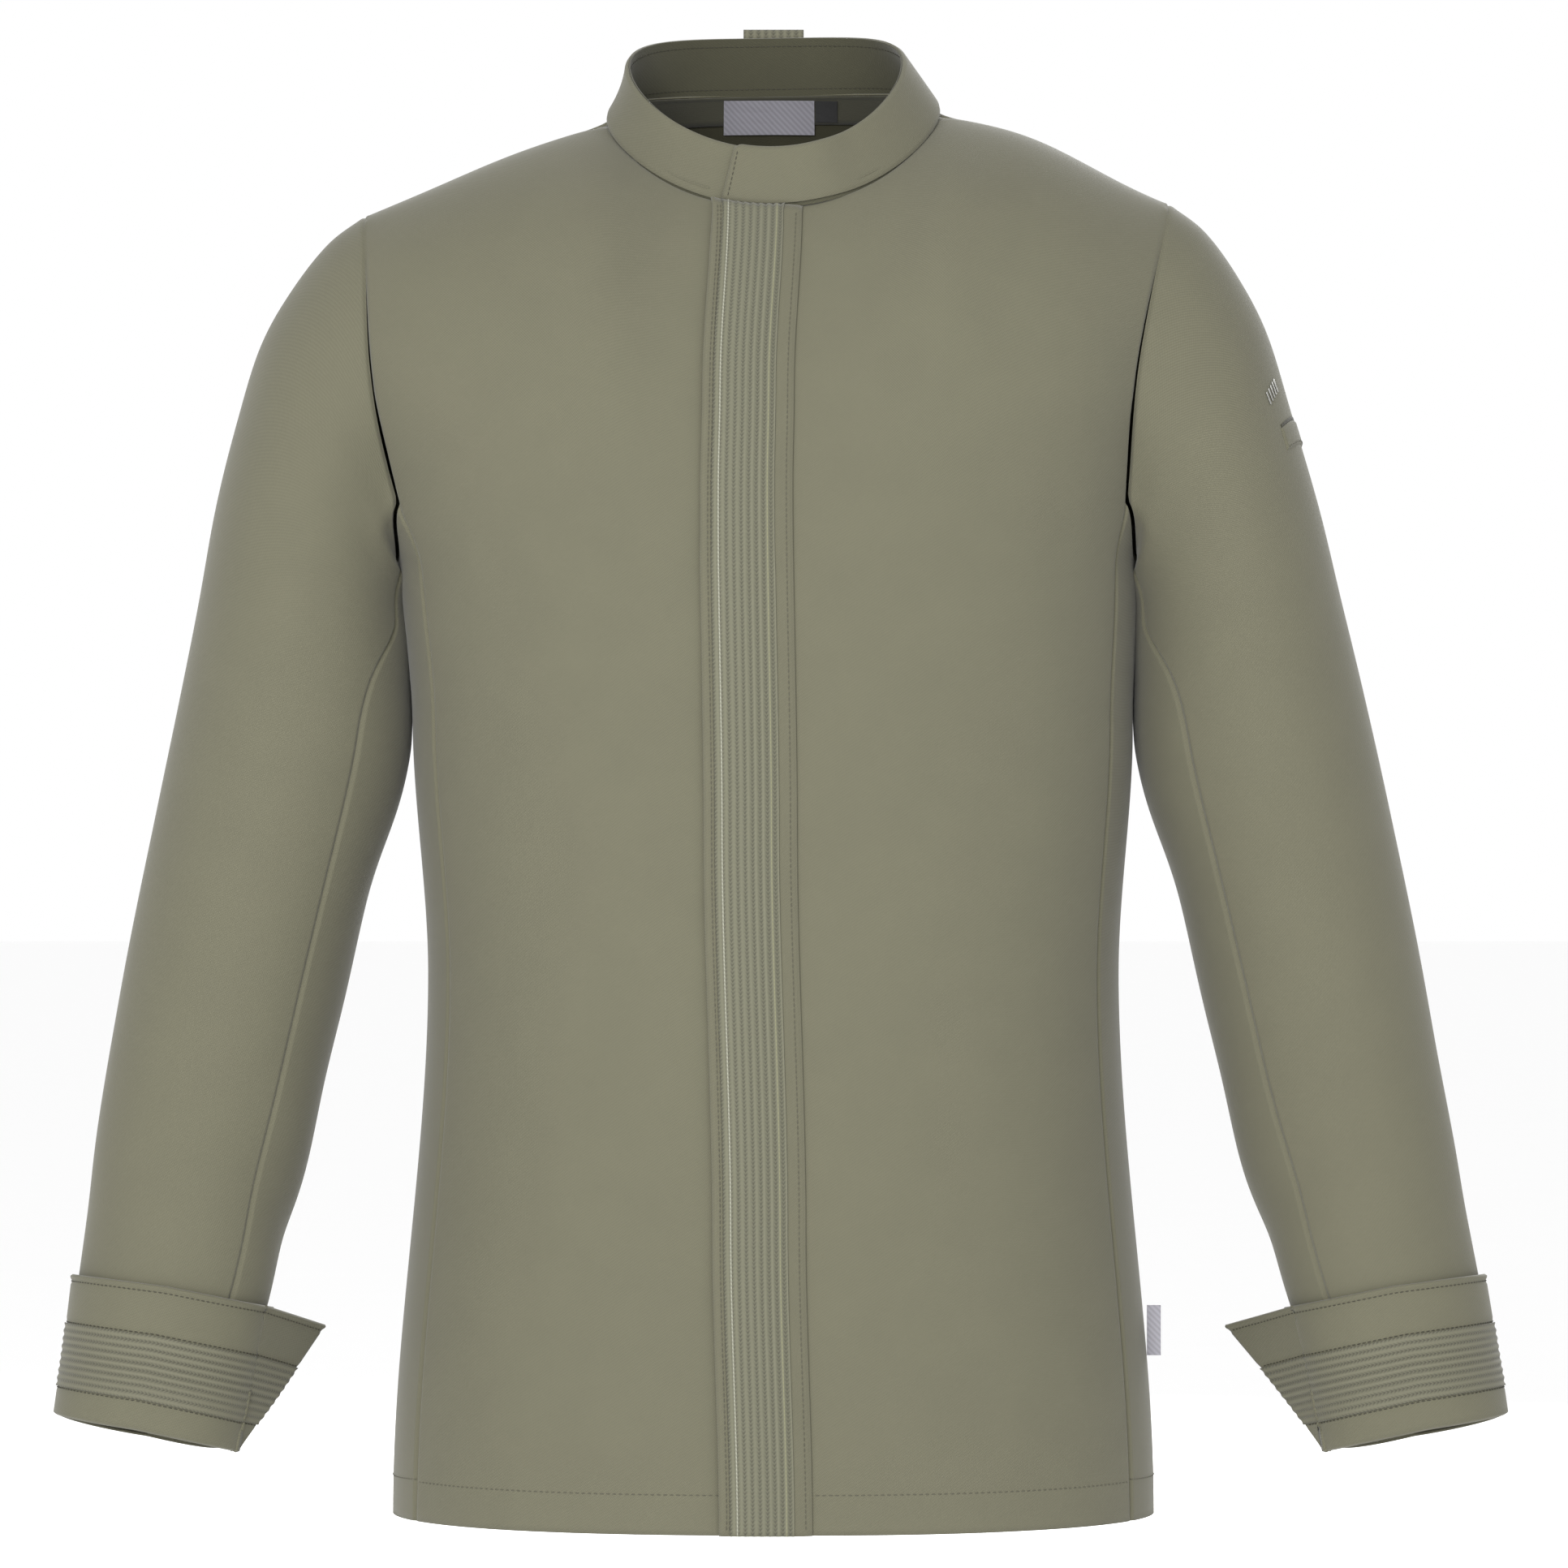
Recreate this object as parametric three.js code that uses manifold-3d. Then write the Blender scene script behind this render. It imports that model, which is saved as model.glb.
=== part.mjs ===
// A chef's jacket as it stands when it is worn: thin cloth panels sewn edge to edge round an open
// torso, two set-in sleeves with turned-back cuffs, a stand collar and a front placket on press studs.
// Millimetres, +Z up, the front faces -Y and the wearer's left is +X. Heights are written up from
// the hem, and the finished group is lowered so that its origin lies between the shoulder points.
import * as THREE from "three";
import Module from "manifold-3d";
import { mergeVertices } from "three/addons/utils/BufferGeometryUtils.js";

const wasm = await Module();
wasm.setup();

// Heights above the hem
const WAIST_HEIGHT = 290;
const CHEST_HEIGHT = 425;
const UNDERARM_HEIGHT = 509;
const SIDE_SEAM_TOP = 542; // where the side panel's seams run into the armhole
const SHOULDER_HEIGHT = 701;
const NECK_FRONT_HEIGHT = 698;
const NECK_BACK_HEIGHT = 771;
const NECK_SIDE_RISE = 15; // how far the neckline lifts at the sides

// Half widths and depths of the body
const HEM_HALF = 205;
const WAIST_HALF = 186;
const CHEST_HALF = 194;
const UNDERARM_HALF = 199;
const SHOULDER_HALF = 216;
const ARMHOLE_LEAN = 0.138; // how fast the armhole runs inwards on its way down
const ARMHOLE_DEPTH = 72; // half of its front to back size
const FRONT_DEPTH = 138;
const HEM_BACK_DEPTH = 138;
const WAIST_BACK_DEPTH = 112;
const CHEST_BACK_DEPTH = 124;
const UPPER_BACK_DEPTH = 131;
const NECK_HALF = 87;
const NECK_DEPTH = 80;
const ROUNDNESS = 2.4; // exponent of the body's section
const PANEL_SHARE = 0.93; // share of the half width that the front and back panels cover
const CHEST_FALL = 190; // height over which the chest falls back to the neck

// Cloth and seams
const CLOTH = 1;
const SEAM_GAP = 0.25; // each side of a seam
const LAYER_GAP = 0.3; // between cloths that lie on each other
const PLACKET_CLOTH = 1.4;
const TAPE_CLOTH = 0.8;

// Placket, its ribbed tape and its press studs
const HINGE_X = 15.5; // stitch line that the band turns on
const BAND_WIDTH = 48.5;
const TAPE_WIDTH = 33;
const TAPE_INSET = 6; // free edge of the band to the tape
const BAND_RAMP = 9; // width over which the band rises off the left front
const STUD_SPACE = 3; // room for the studs under the band
const BAND_TOP_TRIM = 3.5; // the band ends this far below the collar seam
const BAND_SPLIT = 500; // height up to which the band opens
const SPLIT_GAP = 0.8;
const UNDERLAP_GAP = 4; // between the two front panels' edges
const STUD_RADIUS = 6;
const STUD_BASE = 0.6;
const POST_RADIUS = 2;
const POST_HEIGHT = 1.1;
const SOCKET_THICKNESS = 0.9;
const SOCKET_DROP = 0.6; // band's underside to the socket
const SOCKET_CLEARANCE = 0.6;
const LOWER_STUDS = 6;
const UPPER_STUDS = 2;
const FIRST_STUD = 45;
const STUD_PITCH = 78;

// Collar, hanger loop and neck labels
const COLLAR_TOP_HALF = 75;
const COLLAR_TOP_DEPTH = 71;
const COLLAR_FRONT_RISE = 31;
const COLLAR_BACK_RISE = 30;
const COLLAR_CLOTH = 1.2;
const LINING_CLOTH = 0.8;
const COLLAR_OVERLAP = 27; // how far the over end passes the centre front
const COLLAR_UNDERLAP = 20;
const LOOP_CLEARANCE = 1;
const LOOP_SLOT = 6.4;
const LOOP_WALL = 1.2;
const LOOP_PROUD = 5; // how far the loop stands above the collar
const NECK_TAPE_HEIGHT = 12;
const LABEL = { width: 51, height: 18, thickness: 0.5, shift: -2.5 };
const SIZE_TAB = { width: 12, height: 11, thickness: 0.5, gap: 0.8 };
const SIDE_LABEL = { reach: 7.5, height: 27, thickness: 0.8, base: 85, forward: 12 };

// Cuffs
const CUFF_TOP_STATION = 11.1;
const CUFF_CLOTH = 1.4;
const CUFF_FLARE = 1.6; // how much further the cuff stands off at its upper edge
const CUFF_VENT = { front: 118, back: -205 }; // degrees round the sleeve
const CUFF_TAPE_DROP = 27;
const WING = { low: 26, high: 63, inward: 0.93, back: 0.36 };

// Sleeve pocket and badge, in sleeve stations and degrees round the sleeve
const POCKET = { top: 4.03, mouth: 0.13, welt: 0.27, depth: 1.1, front: 36, back: -18 };
const POCKET_ROOM = 8;
const POCKET_CLOTH = 0.6;
const BADGE = { top: 3.35, bottom: 3.72, front: 42, back: 28, thickness: 0.5 };

const SLEEVE_SEAM_BACK = -120; // degrees round the sleeve

// One ring of the left sleeve: how far its outer point lies out from and below the shoulder point,
// and its inner point out from and below the underarm; then half depth, middle's y and forward lean
const station = (out, down, inner, under, depth, y = 0, lean = 0) => ({
  outer: [SHOULDER_HALF + out, SHOULDER_HEIGHT - down],
  inner: [UNDERARM_HALF + inner, UNDERARM_HEIGHT - under],
  depth, y, lean,
});
const SLEEVE = [
  station(0, 0, 0, 0, ARMHOLE_DEPTH),
  station(20, 15, 1.5, 6, ARMHOLE_DEPTH),
  station(39, 40, 2.3, 12, ARMHOLE_DEPTH),
  station(55, 70, 2.9, 18, ARMHOLE_DEPTH),
  station(68, 112, 3.3, 26, 72),
  station(81, 160, 3.6, 40, 72),
  station(92, 212, 3.8, 62, 71),
  station(103, 262, 4, 99, 70),
  station(116, 324, 14.5, 157, 68, -3, 4),
  station(133, 411, 34, 244, 63, -12, 8),
  station(146.5, 497, 54.6, 327, 56, -28, 11),
  station(155.5, 556, 71, 384, 52, -39, 11),
  station(168, 639, 97.6, 468, 49, -56, 11),
];
const CUFF_BOTTOM_STATION = SLEEVE.length - 1;

const FRONT = -1;
const BACK = 1;
const { lerp, clamp, degToRad } = THREE.MathUtils;
const vec = (x, y, z) => new THREE.Vector3(x, y, z);
const ease = (t) => THREE.MathUtils.smoothstep(t, 0, 1);
const range = (count, from = 0, to = 1) =>
  Array.from({ length: count }, (_, i) => lerp(from, to, i / (count - 1)));

// Materials, each with the finish of its own cloth or metal
const finish = (color, roughness, metalness = 0) =>
  new THREE.MeshStandardMaterial({ color, roughness, metalness });
const TWILL = finish(0x86836f, 0.88);
const LINING = finish(0x5a5846, 0.92);
const TAPE = finish(0x7d7d69, 0.8);
const LABEL_CLOTH = finish(0xb4b4bd, 0.75);
const DARK_LABEL = finish(0x1d1d1c, 0.7);
const BRASS = finish(0x8e8a7a, 0.35, 1);

// A value that eases from one named height to the next
function eased(stations, z) {
  let k = 0;
  while (k < stations.length - 2 && z > stations[k + 1][0]) k++;
  const [[z0, low], [z1, high]] = [stations[k], stations[k + 1]];
  return lerp(low, high, ease((z - z0) / (z1 - z0)));
}
const armholeX = (z) => SHOULDER_HALF - ARMHOLE_LEAN * Math.max(SHOULDER_HEIGHT - z, 0);
const SEAM_TOP_HALF = armholeX(SIDE_SEAM_TOP) / PANEL_SHARE;
const halfWidth = (z) =>
  eased([[0, HEM_HALF], [WAIST_HEIGHT, WAIST_HALF], [CHEST_HEIGHT, CHEST_HALF],
    [UNDERARM_HEIGHT, UNDERARM_HALF], [SIDE_SEAM_TOP, SEAM_TOP_HALF]], z);
const backDepth = (z) =>
  eased([[0, HEM_BACK_DEPTH], [WAIST_HEIGHT, WAIST_BACK_DEPTH], [CHEST_HEIGHT, CHEST_BACK_DEPTH],
    [SIDE_SEAM_TOP, UPPER_BACK_DEPTH]], z);
const depthAt = (z, face) => (face === FRONT ? FRONT_DEPTH : backDepth(z));

const ARMHOLE_MIDDLE = (SHOULDER_HEIGHT + UNDERARM_HEIGHT) / 2;
const ARMHOLE_HALF = (SHOULDER_HEIGHT - UNDERARM_HEIGHT) / 2;
const EDGE_DEPTH = Math.sqrt(1 - PANEL_SHARE ** ROUNDNESS);
const panelEdgeX = (z) => (z < SIDE_SEAM_TOP ? PANEL_SHARE * halfWidth(z) : armholeX(z));

// Depth of the panel's edge, from the side seam up into the armhole
function edgeDepth(z, face) {
  const rise = ease((z - SIDE_SEAM_TOP) / (ARMHOLE_MIDDLE - SIDE_SEAM_TOP));
  return lerp(EDGE_DEPTH * depthAt(z, face), ARMHOLE_DEPTH, rise);
}

// Height of the neckline over a point of its ellipse
function neckHeight(x, y) {
  const along = (y + NECK_DEPTH) / (2 * NECK_DEPTH);
  return lerp(NECK_FRONT_HEIGHT, NECK_BACK_HEIGHT, along) + NECK_SIDE_RISE * (x / NECK_HALF) ** 2;
}

// Where a column of the front or back ends: on the neckline, or on the shoulder seam
function topOf(x, face) {
  const across = Math.abs(x) / NECK_HALF;
  if (across <= 1) {
    const y = face * NECK_DEPTH * Math.sqrt(1 - across ** 2);
    return vec(x, y, neckHeight(x, y));
  }
  const along = (Math.abs(x) - NECK_HALF) / (SHOULDER_HALF - NECK_HALF);
  return vec(x, 0, lerp(neckHeight(NECK_HALF, 0), SHOULDER_HEIGHT, along));
}

// A point of the front or back cloth, on the column that ends at x, at height z
function clothPoint(x, z, face) {
  const top = topOf(x, face);
  const share = Math.abs(x) / SHOULDER_HALF;
  const edge = panelEdgeX(z);
  const at = x * lerp(1, edge / SHOULDER_HALF, ease((share - 0.2) / 0.8));
  const round = Math.sqrt(1 - Math.min(PANEL_SHARE * Math.abs(at) / edge, PANEL_SHARE) ** ROUNDNESS);
  const crown = (round - EDGE_DEPTH) / (1 - EDGE_DEPTH);
  const full = face * lerp(edgeDepth(z, face), depthAt(z, face), crown);
  const fall = clamp((top.z - z) / lerp(CHEST_FALL, ARMHOLE_HALF, share ** 2), 0, 1);
  const closing = (1 - (1 - fall) ** 2) ** (1 / lerp(1.1, 2, ease(share)));
  return vec(at, lerp(top.y, full, closing), z);
}

// A point of the side panel: q runs from -1 at its front seam to 1 at its back seam
function sidePoint(q, z) {
  const depth = depthAt(z, q < 0 ? FRONT : BACK);
  const y = q * EDGE_DEPTH * depth;
  return vec(halfWidth(z) * (1 - (y / depth) ** 2) ** (1 / ROUNDNESS), y, z);
}
const sideTop = (q) => lerp(UNDERARM_HEIGHT, SIDE_SEAM_TOP, q ** 2);

// The armhole's edge: 0 at the shoulder point, towards the front, 180 degrees at the underarm
const MEET_ANGLE = Math.acos((SIDE_SEAM_TOP - ARMHOLE_MIDDLE) / ARMHOLE_HALF);
function armholePoint(angle) {
  const turned = Math.atan2(Math.sin(angle), Math.cos(angle));
  const face = turned < 0 ? BACK : FRONT;
  const z = ARMHOLE_MIDDLE + ARMHOLE_HALF * Math.cos(turned);
  if (Math.abs(turned) <= MEET_ANGLE + 1e-9) return clothPoint(SHOULDER_HALF, z, face);
  const q = Math.sqrt(Math.max(z - UNDERARM_HEIGHT, 0) / (SIDE_SEAM_TOP - UNDERARM_HEIGHT));
  return sidePoint(face * q, z);
}
const MEET_DEGREES = THREE.MathUtils.radToDeg(MEET_ANGLE);
const FRONT_ANGLES = [...range(9, 0, 120), MEET_DEGREES, 145, 160, 180];
const SIDE_QS = FRONT_ANGLES.slice(9).map((a) =>
  Math.sqrt((ARMHOLE_HALF * (1 + Math.cos(degToRad(a)))) / (SIDE_SEAM_TOP - UNDERARM_HEIGHT)));

// A point of the left sleeve: place counts the stations, degrees run like the armhole's
function sleevePoint(place, degrees) {
  const k = Math.min(Math.floor(place), SLEEVE.length - 2);
  const t = place - k;
  const [a, b] = [SLEEVE[k], SLEEVE[k + 1]];
  const mix = (from, to) => lerp(from, to, t);
  const outer = vec(mix(a.outer[0], b.outer[0]), mix(a.y, b.y), mix(a.outer[1], b.outer[1]));
  const inner = vec(mix(a.inner[0], b.inner[0]), mix(a.y, b.y), mix(a.inner[1], b.inner[1]));
  return ringPoint(outer, inner, mix(a.depth, b.depth), mix(a.lean, b.lean), degrees)
    .add(armholeOffset(degrees).multiplyScalar(Math.max(1 - place / 3, 0)));
}
function ringPoint(outer, inner, depth, lean, degrees) {
  const angle = degToRad(degrees);
  const middle = outer.clone().lerp(inner, 0.5);
  const up = outer.clone().sub(inner).multiplyScalar(Math.cos(angle) / 2);
  const forward = vec(0, -Math.cos(degToRad(lean)), Math.sin(degToRad(lean)));
  return middle.add(up).add(forward.multiplyScalar(depth * Math.sin(angle)));
}
// How far the armhole's real edge lies from the plain ellipse of the first station
function armholeOffset(degrees) {
  const { outer, inner, depth } = SLEEVE[0];
  const plain = ringPoint(vec(outer[0], 0, outer[1]), vec(inner[0], 0, inner[1]), depth, 0, degrees);
  return armholePoint(degToRad(degrees)).sub(plain);
}

// A closed cloth from a grid of points: outer face at `off` along the normal, `thick` below it.
// trim shortens the four edges [first column, last column, first row, last row], and a level foot
// keeps the first row's edge in one plane.
function cloth(columns, rows, at, { off = 0, thick = CLOTH, trim = [0, 0, 0, 0], levelFoot = false }) {
  const [nc, nr] = [columns.length, rows.length];
  const grid = columns.map((c) => rows.map((r) => at(c, r)));
  const normals = grid.map((line, i) => line.map((_, j) => {
    const across = grid[Math.min(i + 1, nc - 1)][j].clone().sub(grid[Math.max(i - 1, 0)][j]);
    const along = line[Math.min(j + 1, nr - 1)].clone().sub(line[Math.max(j - 1, 0)]);
    const normal = across.cross(along);
    if (levelFoot && j === 0) normal.z = 0;
    return normal.normalize();
  }));
  const shorten = (edge, next, by) => edge.add(next.clone().sub(edge).setLength(by));
  for (let j = 0; j < nr; j++) {
    if (trim[0]) shorten(grid[0][j], grid[1][j], trim[0]);
    if (trim[1]) shorten(grid[nc - 1][j], grid[nc - 2][j], trim[1]);
  }
  for (let i = 0; i < nc; i++) {
    if (trim[2]) shorten(grid[i][0], grid[i][1], trim[2]);
    if (trim[3]) shorten(grid[i][nr - 1], grid[i][nr - 2], trim[3]);
  }
  const points = [];
  const layer = (shift) => grid.forEach((line, i) => line.forEach((p, j) => {
    const lift = typeof shift === "function" ? shift(columns[i], rows[j]) : shift;
    points.push(...p.clone().addScaledVector(normals[i][j], lift).toArray());
  }));
  const outer = typeof off === "function" ? off : () => off;
  layer(outer);
  layer((c, r) => outer(c, r) - thick);
  const [top, under] = [(i, j) => i * nr + j, (i, j) => nc * nr + i * nr + j];
  const faces = [];
  const quad = (a, b, c, d) => faces.push(a, b, c, a, c, d);
  for (let i = 0; i < nc - 1; i++)
    for (let j = 0; j < nr - 1; j++) {
      quad(top(i, j), top(i + 1, j), top(i + 1, j + 1), top(i, j + 1));
      quad(under(i, j), under(i, j + 1), under(i + 1, j + 1), under(i + 1, j));
    }
  for (let i = 0; i < nc - 1; i++) {
    quad(top(i + 1, 0), top(i, 0), under(i, 0), under(i + 1, 0));
    quad(top(i, nr - 1), top(i + 1, nr - 1), under(i + 1, nr - 1), under(i, nr - 1));
  }
  for (let j = 0; j < nr - 1; j++) {
    quad(top(0, j), top(0, j + 1), under(0, j + 1), under(0, j));
    quad(top(nc - 1, j + 1), top(nc - 1, j), under(nc - 1, j), under(nc - 1, j + 1));
  }
  const geometry = new THREE.BufferGeometry();
  geometry.setAttribute("position", new THREE.Float32BufferAttribute(points, 3));
  geometry.setIndex(faces);
  return geometry;
}

// The same shape on the wearer's other side
function mirrored(geometry) {
  const flat = geometry.index ? geometry.toNonIndexed() : geometry.clone();
  const p = flat.attributes.position;
  for (let i = 0; i < p.count; i += 3) {
    const corner = [0, 1, 2].map((k) => [-p.getX(i + k), p.getY(i + k), p.getZ(i + k)]);
    [corner[0], corner[2], corner[1]].forEach((c, k) => p.setXYZ(i + k, ...c));
  }
  return flat;
}

// Booleans, for the pocket's mouth and bag
function solid(geometry) {
  const bare = new THREE.BufferGeometry();
  bare.setAttribute("position", geometry.attributes.position.clone());
  if (geometry.index) bare.setIndex(geometry.index.clone());
  const merged = mergeVertices(bare, 1e-4);
  const vertProperties = new Float32Array(merged.attributes.position.array);
  const triVerts = new Uint32Array(merged.index.array);
  return new wasm.Manifold(new wasm.Mesh({ numProp: 3, vertProperties, triVerts }));
}
function geometryOf(manifold) {
  const mesh = manifold.getMesh();
  const geometry = new THREE.BufferGeometry();
  geometry.setAttribute("position", new THREE.Float32BufferAttribute(mesh.vertProperties, 3));
  geometry.setIndex([...mesh.triVerts]);
  return geometry;
}

const jacket = new THREE.Group();
jacket.position.z = -SHOULDER_HEIGHT;
function add(name, geometry, material) {
  const mesh = new THREE.Mesh(geometry, material);
  mesh.name = name;
  jacket.add(mesh);
  return mesh;
}
function addPair(name, geometry, material) {
  add(`left_${name}`, geometry, material);
  add(`right_${name}`, mirrored(geometry), material);
}

// Body panels. A row is below zero for a height up to the side seam's top, as its share of that
// height less one, and above zero for the share of what is left up to the column's end.
const LOWER_ROWS = [0, 75, 150, 225, WAIST_HEIGHT, 365, CHEST_HEIGHT, 475, UNDERARM_HEIGHT];
const UPPER_ROWS = [...FRONT_ANGLES.slice(0, 10)].reverse().map((degrees) => {
  const z = ARMHOLE_MIDDLE + ARMHOLE_HALF * Math.cos(degToRad(degrees));
  return (z - SIDE_SEAM_TOP) / (SHOULDER_HEIGHT - SIDE_SEAM_TOP);
});
const BODY_ROWS = [...LOWER_ROWS.map((z) => z / SIDE_SEAM_TOP - 1), ...UPPER_ROWS];
const rowHeight = (x, row, face) =>
  row < 0 ? (row + 1) * SIDE_SEAM_TOP : lerp(SIDE_SEAM_TOP, topOf(x, face).z, row);
const NECK_STEP = 15; // degrees between the columns that end on the neckline
const NECK_COLUMNS = range(90 / NECK_STEP, NECK_STEP, 90).map((a) => NECK_HALF * Math.sin(degToRad(a)));
const SHOULDER_COLUMNS = range(6, NECK_HALF, SHOULDER_HALF).slice(1);
const HALF_COLUMNS = [...NECK_COLUMNS, ...SHOULDER_COLUMNS];
const across = [...HALF_COLUMNS].reverse();
const seams = (...on) => on.map((seam) => seam * SEAM_GAP);

function bodyPanels() {
  const levelFoot = true;
  const lapStart = HINGE_X - BAND_RAMP;
  const front = (x, row) => clothPoint(x, rowHeight(x, row, FRONT), FRONT);
  const back = (x, row) => clothPoint(x, rowHeight(x, row, BACK), BACK);
  const leftColumns = [lapStart, HINGE_X, ...HALF_COLUMNS];
  const rightColumns = [...across.map((x) => -x), lapStart - UNDERLAP_GAP];
  add("left_front", cloth(leftColumns, BODY_ROWS, front, { trim: seams(0, 1, 0, 1), levelFoot }), TWILL);
  add("right_front", cloth(rightColumns, BODY_ROWS, front, { trim: seams(1, 0, 0, 1), levelFoot }), TWILL);
  const backColumns = [...across, 0, ...HALF_COLUMNS.map((x) => -x)];
  add("back_panel", cloth(backColumns, BODY_ROWS, back, { trim: seams(1, 1, 0, 1), levelFoot }), TWILL);
  const qs = [...SIDE_QS.map((q) => -q), ...[...SIDE_QS].reverse().slice(1)];
  const shares = LOWER_ROWS.map((z) => z / UNDERARM_HEIGHT);
  const side = (q, share) => sidePoint(q, share * sideTop(q));
  addPair("side_panel", cloth(qs, shares, side, { trim: seams(1, 1, 0, 1), levelFoot }), TWILL);
}

// How high the band's underside stands off the front cloth
const BAND_EDGE = HINGE_X - BAND_WIDTH;
const bandRise = (x) => lerp(LAYER_GAP, STUD_SPACE, ease((HINGE_X - x) / BAND_RAMP));
const STUD_X = HINGE_X - BAND_WIDTH / 2;

// A strip of the front between two heights; its rows carry a height, or a share below the neckline
function frontStrip(xs, rows, rise, thick, trim = [0, 0, 0, 0]) {
  const at = (x, z) => clothPoint(x, Math.min(z, topOf(x, FRONT).z), FRONT);
  return cloth(xs, rows, at, { off: (x) => rise(x) + thick, thick, trim });
}

function placket() {
  const rampStart = HINGE_X - BAND_RAMP;
  const bandXs = [...range(5, BAND_EDGE, rampStart), ...range(4, rampStart, HINGE_X).slice(1)];
  const tapeLeft = BAND_EDGE + TAPE_INSET;
  const tapeXs = range(4, tapeLeft, tapeLeft + TAPE_WIDTH);
  const tapeRise = (x) => bandRise(x) + PLACKET_CLOTH + LAYER_GAP;
  const lower = range(9, 0, BAND_SPLIT);
  add("placket_band_lower", frontStrip(bandXs, lower, bandRise, PLACKET_CLOTH), TWILL);
  add("placket_tape_lower", frontStrip(tapeXs, lower, tapeRise, TAPE_CLOTH), TAPE);
  const splitRow = (BAND_SPLIT + SPLIT_GAP) / SIDE_SEAM_TOP - 1;
  const upper = [splitRow, ...BODY_ROWS.filter((row) => row > splitRow)];
  const upperPoint = (x, row) => clothPoint(x, rowHeight(x, row, FRONT), FRONT);
  const upperStrip = (xs, rise, thick) =>
    cloth(xs, upper, upperPoint, { off: (x) => rise(x) + thick, thick, trim: [0, 0, 0, BAND_TOP_TRIM] });
  add("placket_band_upper", upperStrip(bandXs, bandRise, PLACKET_CLOTH), TWILL);
  add("placket_tape_upper", upperStrip(tapeXs, tapeRise, TAPE_CLOTH), TAPE);
}

// Press studs: a post on the under cloth and a socket ring under the band, turned to the cloth
const STUD_SIDES = 12;
const lathe = (profile) =>
  new THREE.LatheGeometry(profile.map(([r, h]) => new THREE.Vector2(r, h)), STUD_SIDES);
const postProfile = [[0, 0], [STUD_RADIUS, 0], [STUD_RADIUS, STUD_BASE], [POST_RADIUS, STUD_BASE],
  [POST_RADIUS, STUD_BASE + POST_HEIGHT], [0, STUD_BASE + POST_HEIGHT]];
const BORE = POST_RADIUS + SOCKET_CLEARANCE;
const socketProfile = [[BORE, 0], [STUD_RADIUS, 0], [STUD_RADIUS, SOCKET_THICKNESS],
  [BORE, SOCKET_THICKNESS], [BORE, 0]];
function seated(name, geometry, foot, normal, rise) {
  const mesh = add(name, geometry, BRASS);
  mesh.quaternion.setFromUnitVectors(vec(0, 1, 0), normal);
  mesh.position.copy(foot).addScaledVector(normal, rise);
}
function studPair(number, foot, normal) {
  seated(`stud_post_${number}`, lathe(postProfile), foot, normal, LAYER_GAP);
  const socketRise = STUD_SPACE - SOCKET_DROP - SOCKET_THICKNESS;
  seated(`stud_socket_${number}`, lathe(socketProfile), foot, normal, socketRise);
}
function normalOf(at) {
  const step = 4;
  const across = at(step, 0).sub(at(-step, 0));
  return across.cross(at(0, step).sub(at(0, -step))).normalize();
}
function studs() {
  for (let i = 0; i < LOWER_STUDS + UPPER_STUDS; i++) {
    const z = FIRST_STUD + i * STUD_PITCH;
    const at = (dx, dz) => clothPoint(STUD_X + dx, z + dz, FRONT);
    studPair(i + 1, at(0, 0), normalOf(at));
  }
}

// Collar: angle 0 at the centre front, towards the wearer's left, rise 0 at the seam and 1 on top
const OVER_START = -Math.asin(COLLAR_OVERLAP / NECK_HALF);
const UNDER_END = 2 * Math.PI + Math.asin(COLLAR_UNDERLAP / NECK_HALF);
function collarPoint(angle, rise) {
  const half = lerp(NECK_HALF, COLLAR_TOP_HALF, rise);
  const depth = lerp(NECK_DEPTH, COLLAR_TOP_DEPTH, rise);
  const [x, y] = [half * Math.sin(angle), -depth * Math.cos(angle)];
  const foot = neckHeight(NECK_HALF * Math.sin(angle), -NECK_DEPTH * Math.cos(angle));
  const height = lerp(COLLAR_FRONT_RISE, COLLAR_BACK_RISE, (1 - Math.cos(angle)) / 2);
  return vec(x, y, foot + rise * height);
}
const OVER_RISE = STUD_SPACE + LINING_CLOTH + LAYER_GAP + COLLAR_CLOTH;
const overlapRise = (angle) => OVER_RISE * (1 - ease((angle - 0.45) / 0.5));

function collar() {
  const step = degToRad(NECK_STEP);
  const angles = [OVER_START, ...range(360 / NECK_STEP + 1, 0, 2 * Math.PI), UNDER_END];
  if (OVER_START < -step) angles.splice(1, 0, -step);
  const rises = range(4);
  const trim = seams(0, 0, 3, 0);
  const outer = { off: overlapRise, thick: COLLAR_CLOTH, trim };
  add("collar", cloth(angles, rises, collarPoint, outer), TWILL);
  const inside = COLLAR_CLOTH + LAYER_GAP;
  const lining = { off: (angle) => overlapRise(angle) - inside, thick: LINING_CLOTH, trim };
  add("collar_lining", cloth(angles, rises, collarPoint, lining), LINING);
  const studAngle = Math.asin(STUD_X / NECK_HALF);
  const at = (dx, dz) => collarPoint(studAngle + dx / NECK_HALF, 0.5 + dz / COLLAR_FRONT_RISE);
  studPair("collar", at(0, 0), normalOf(at));
}

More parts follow.
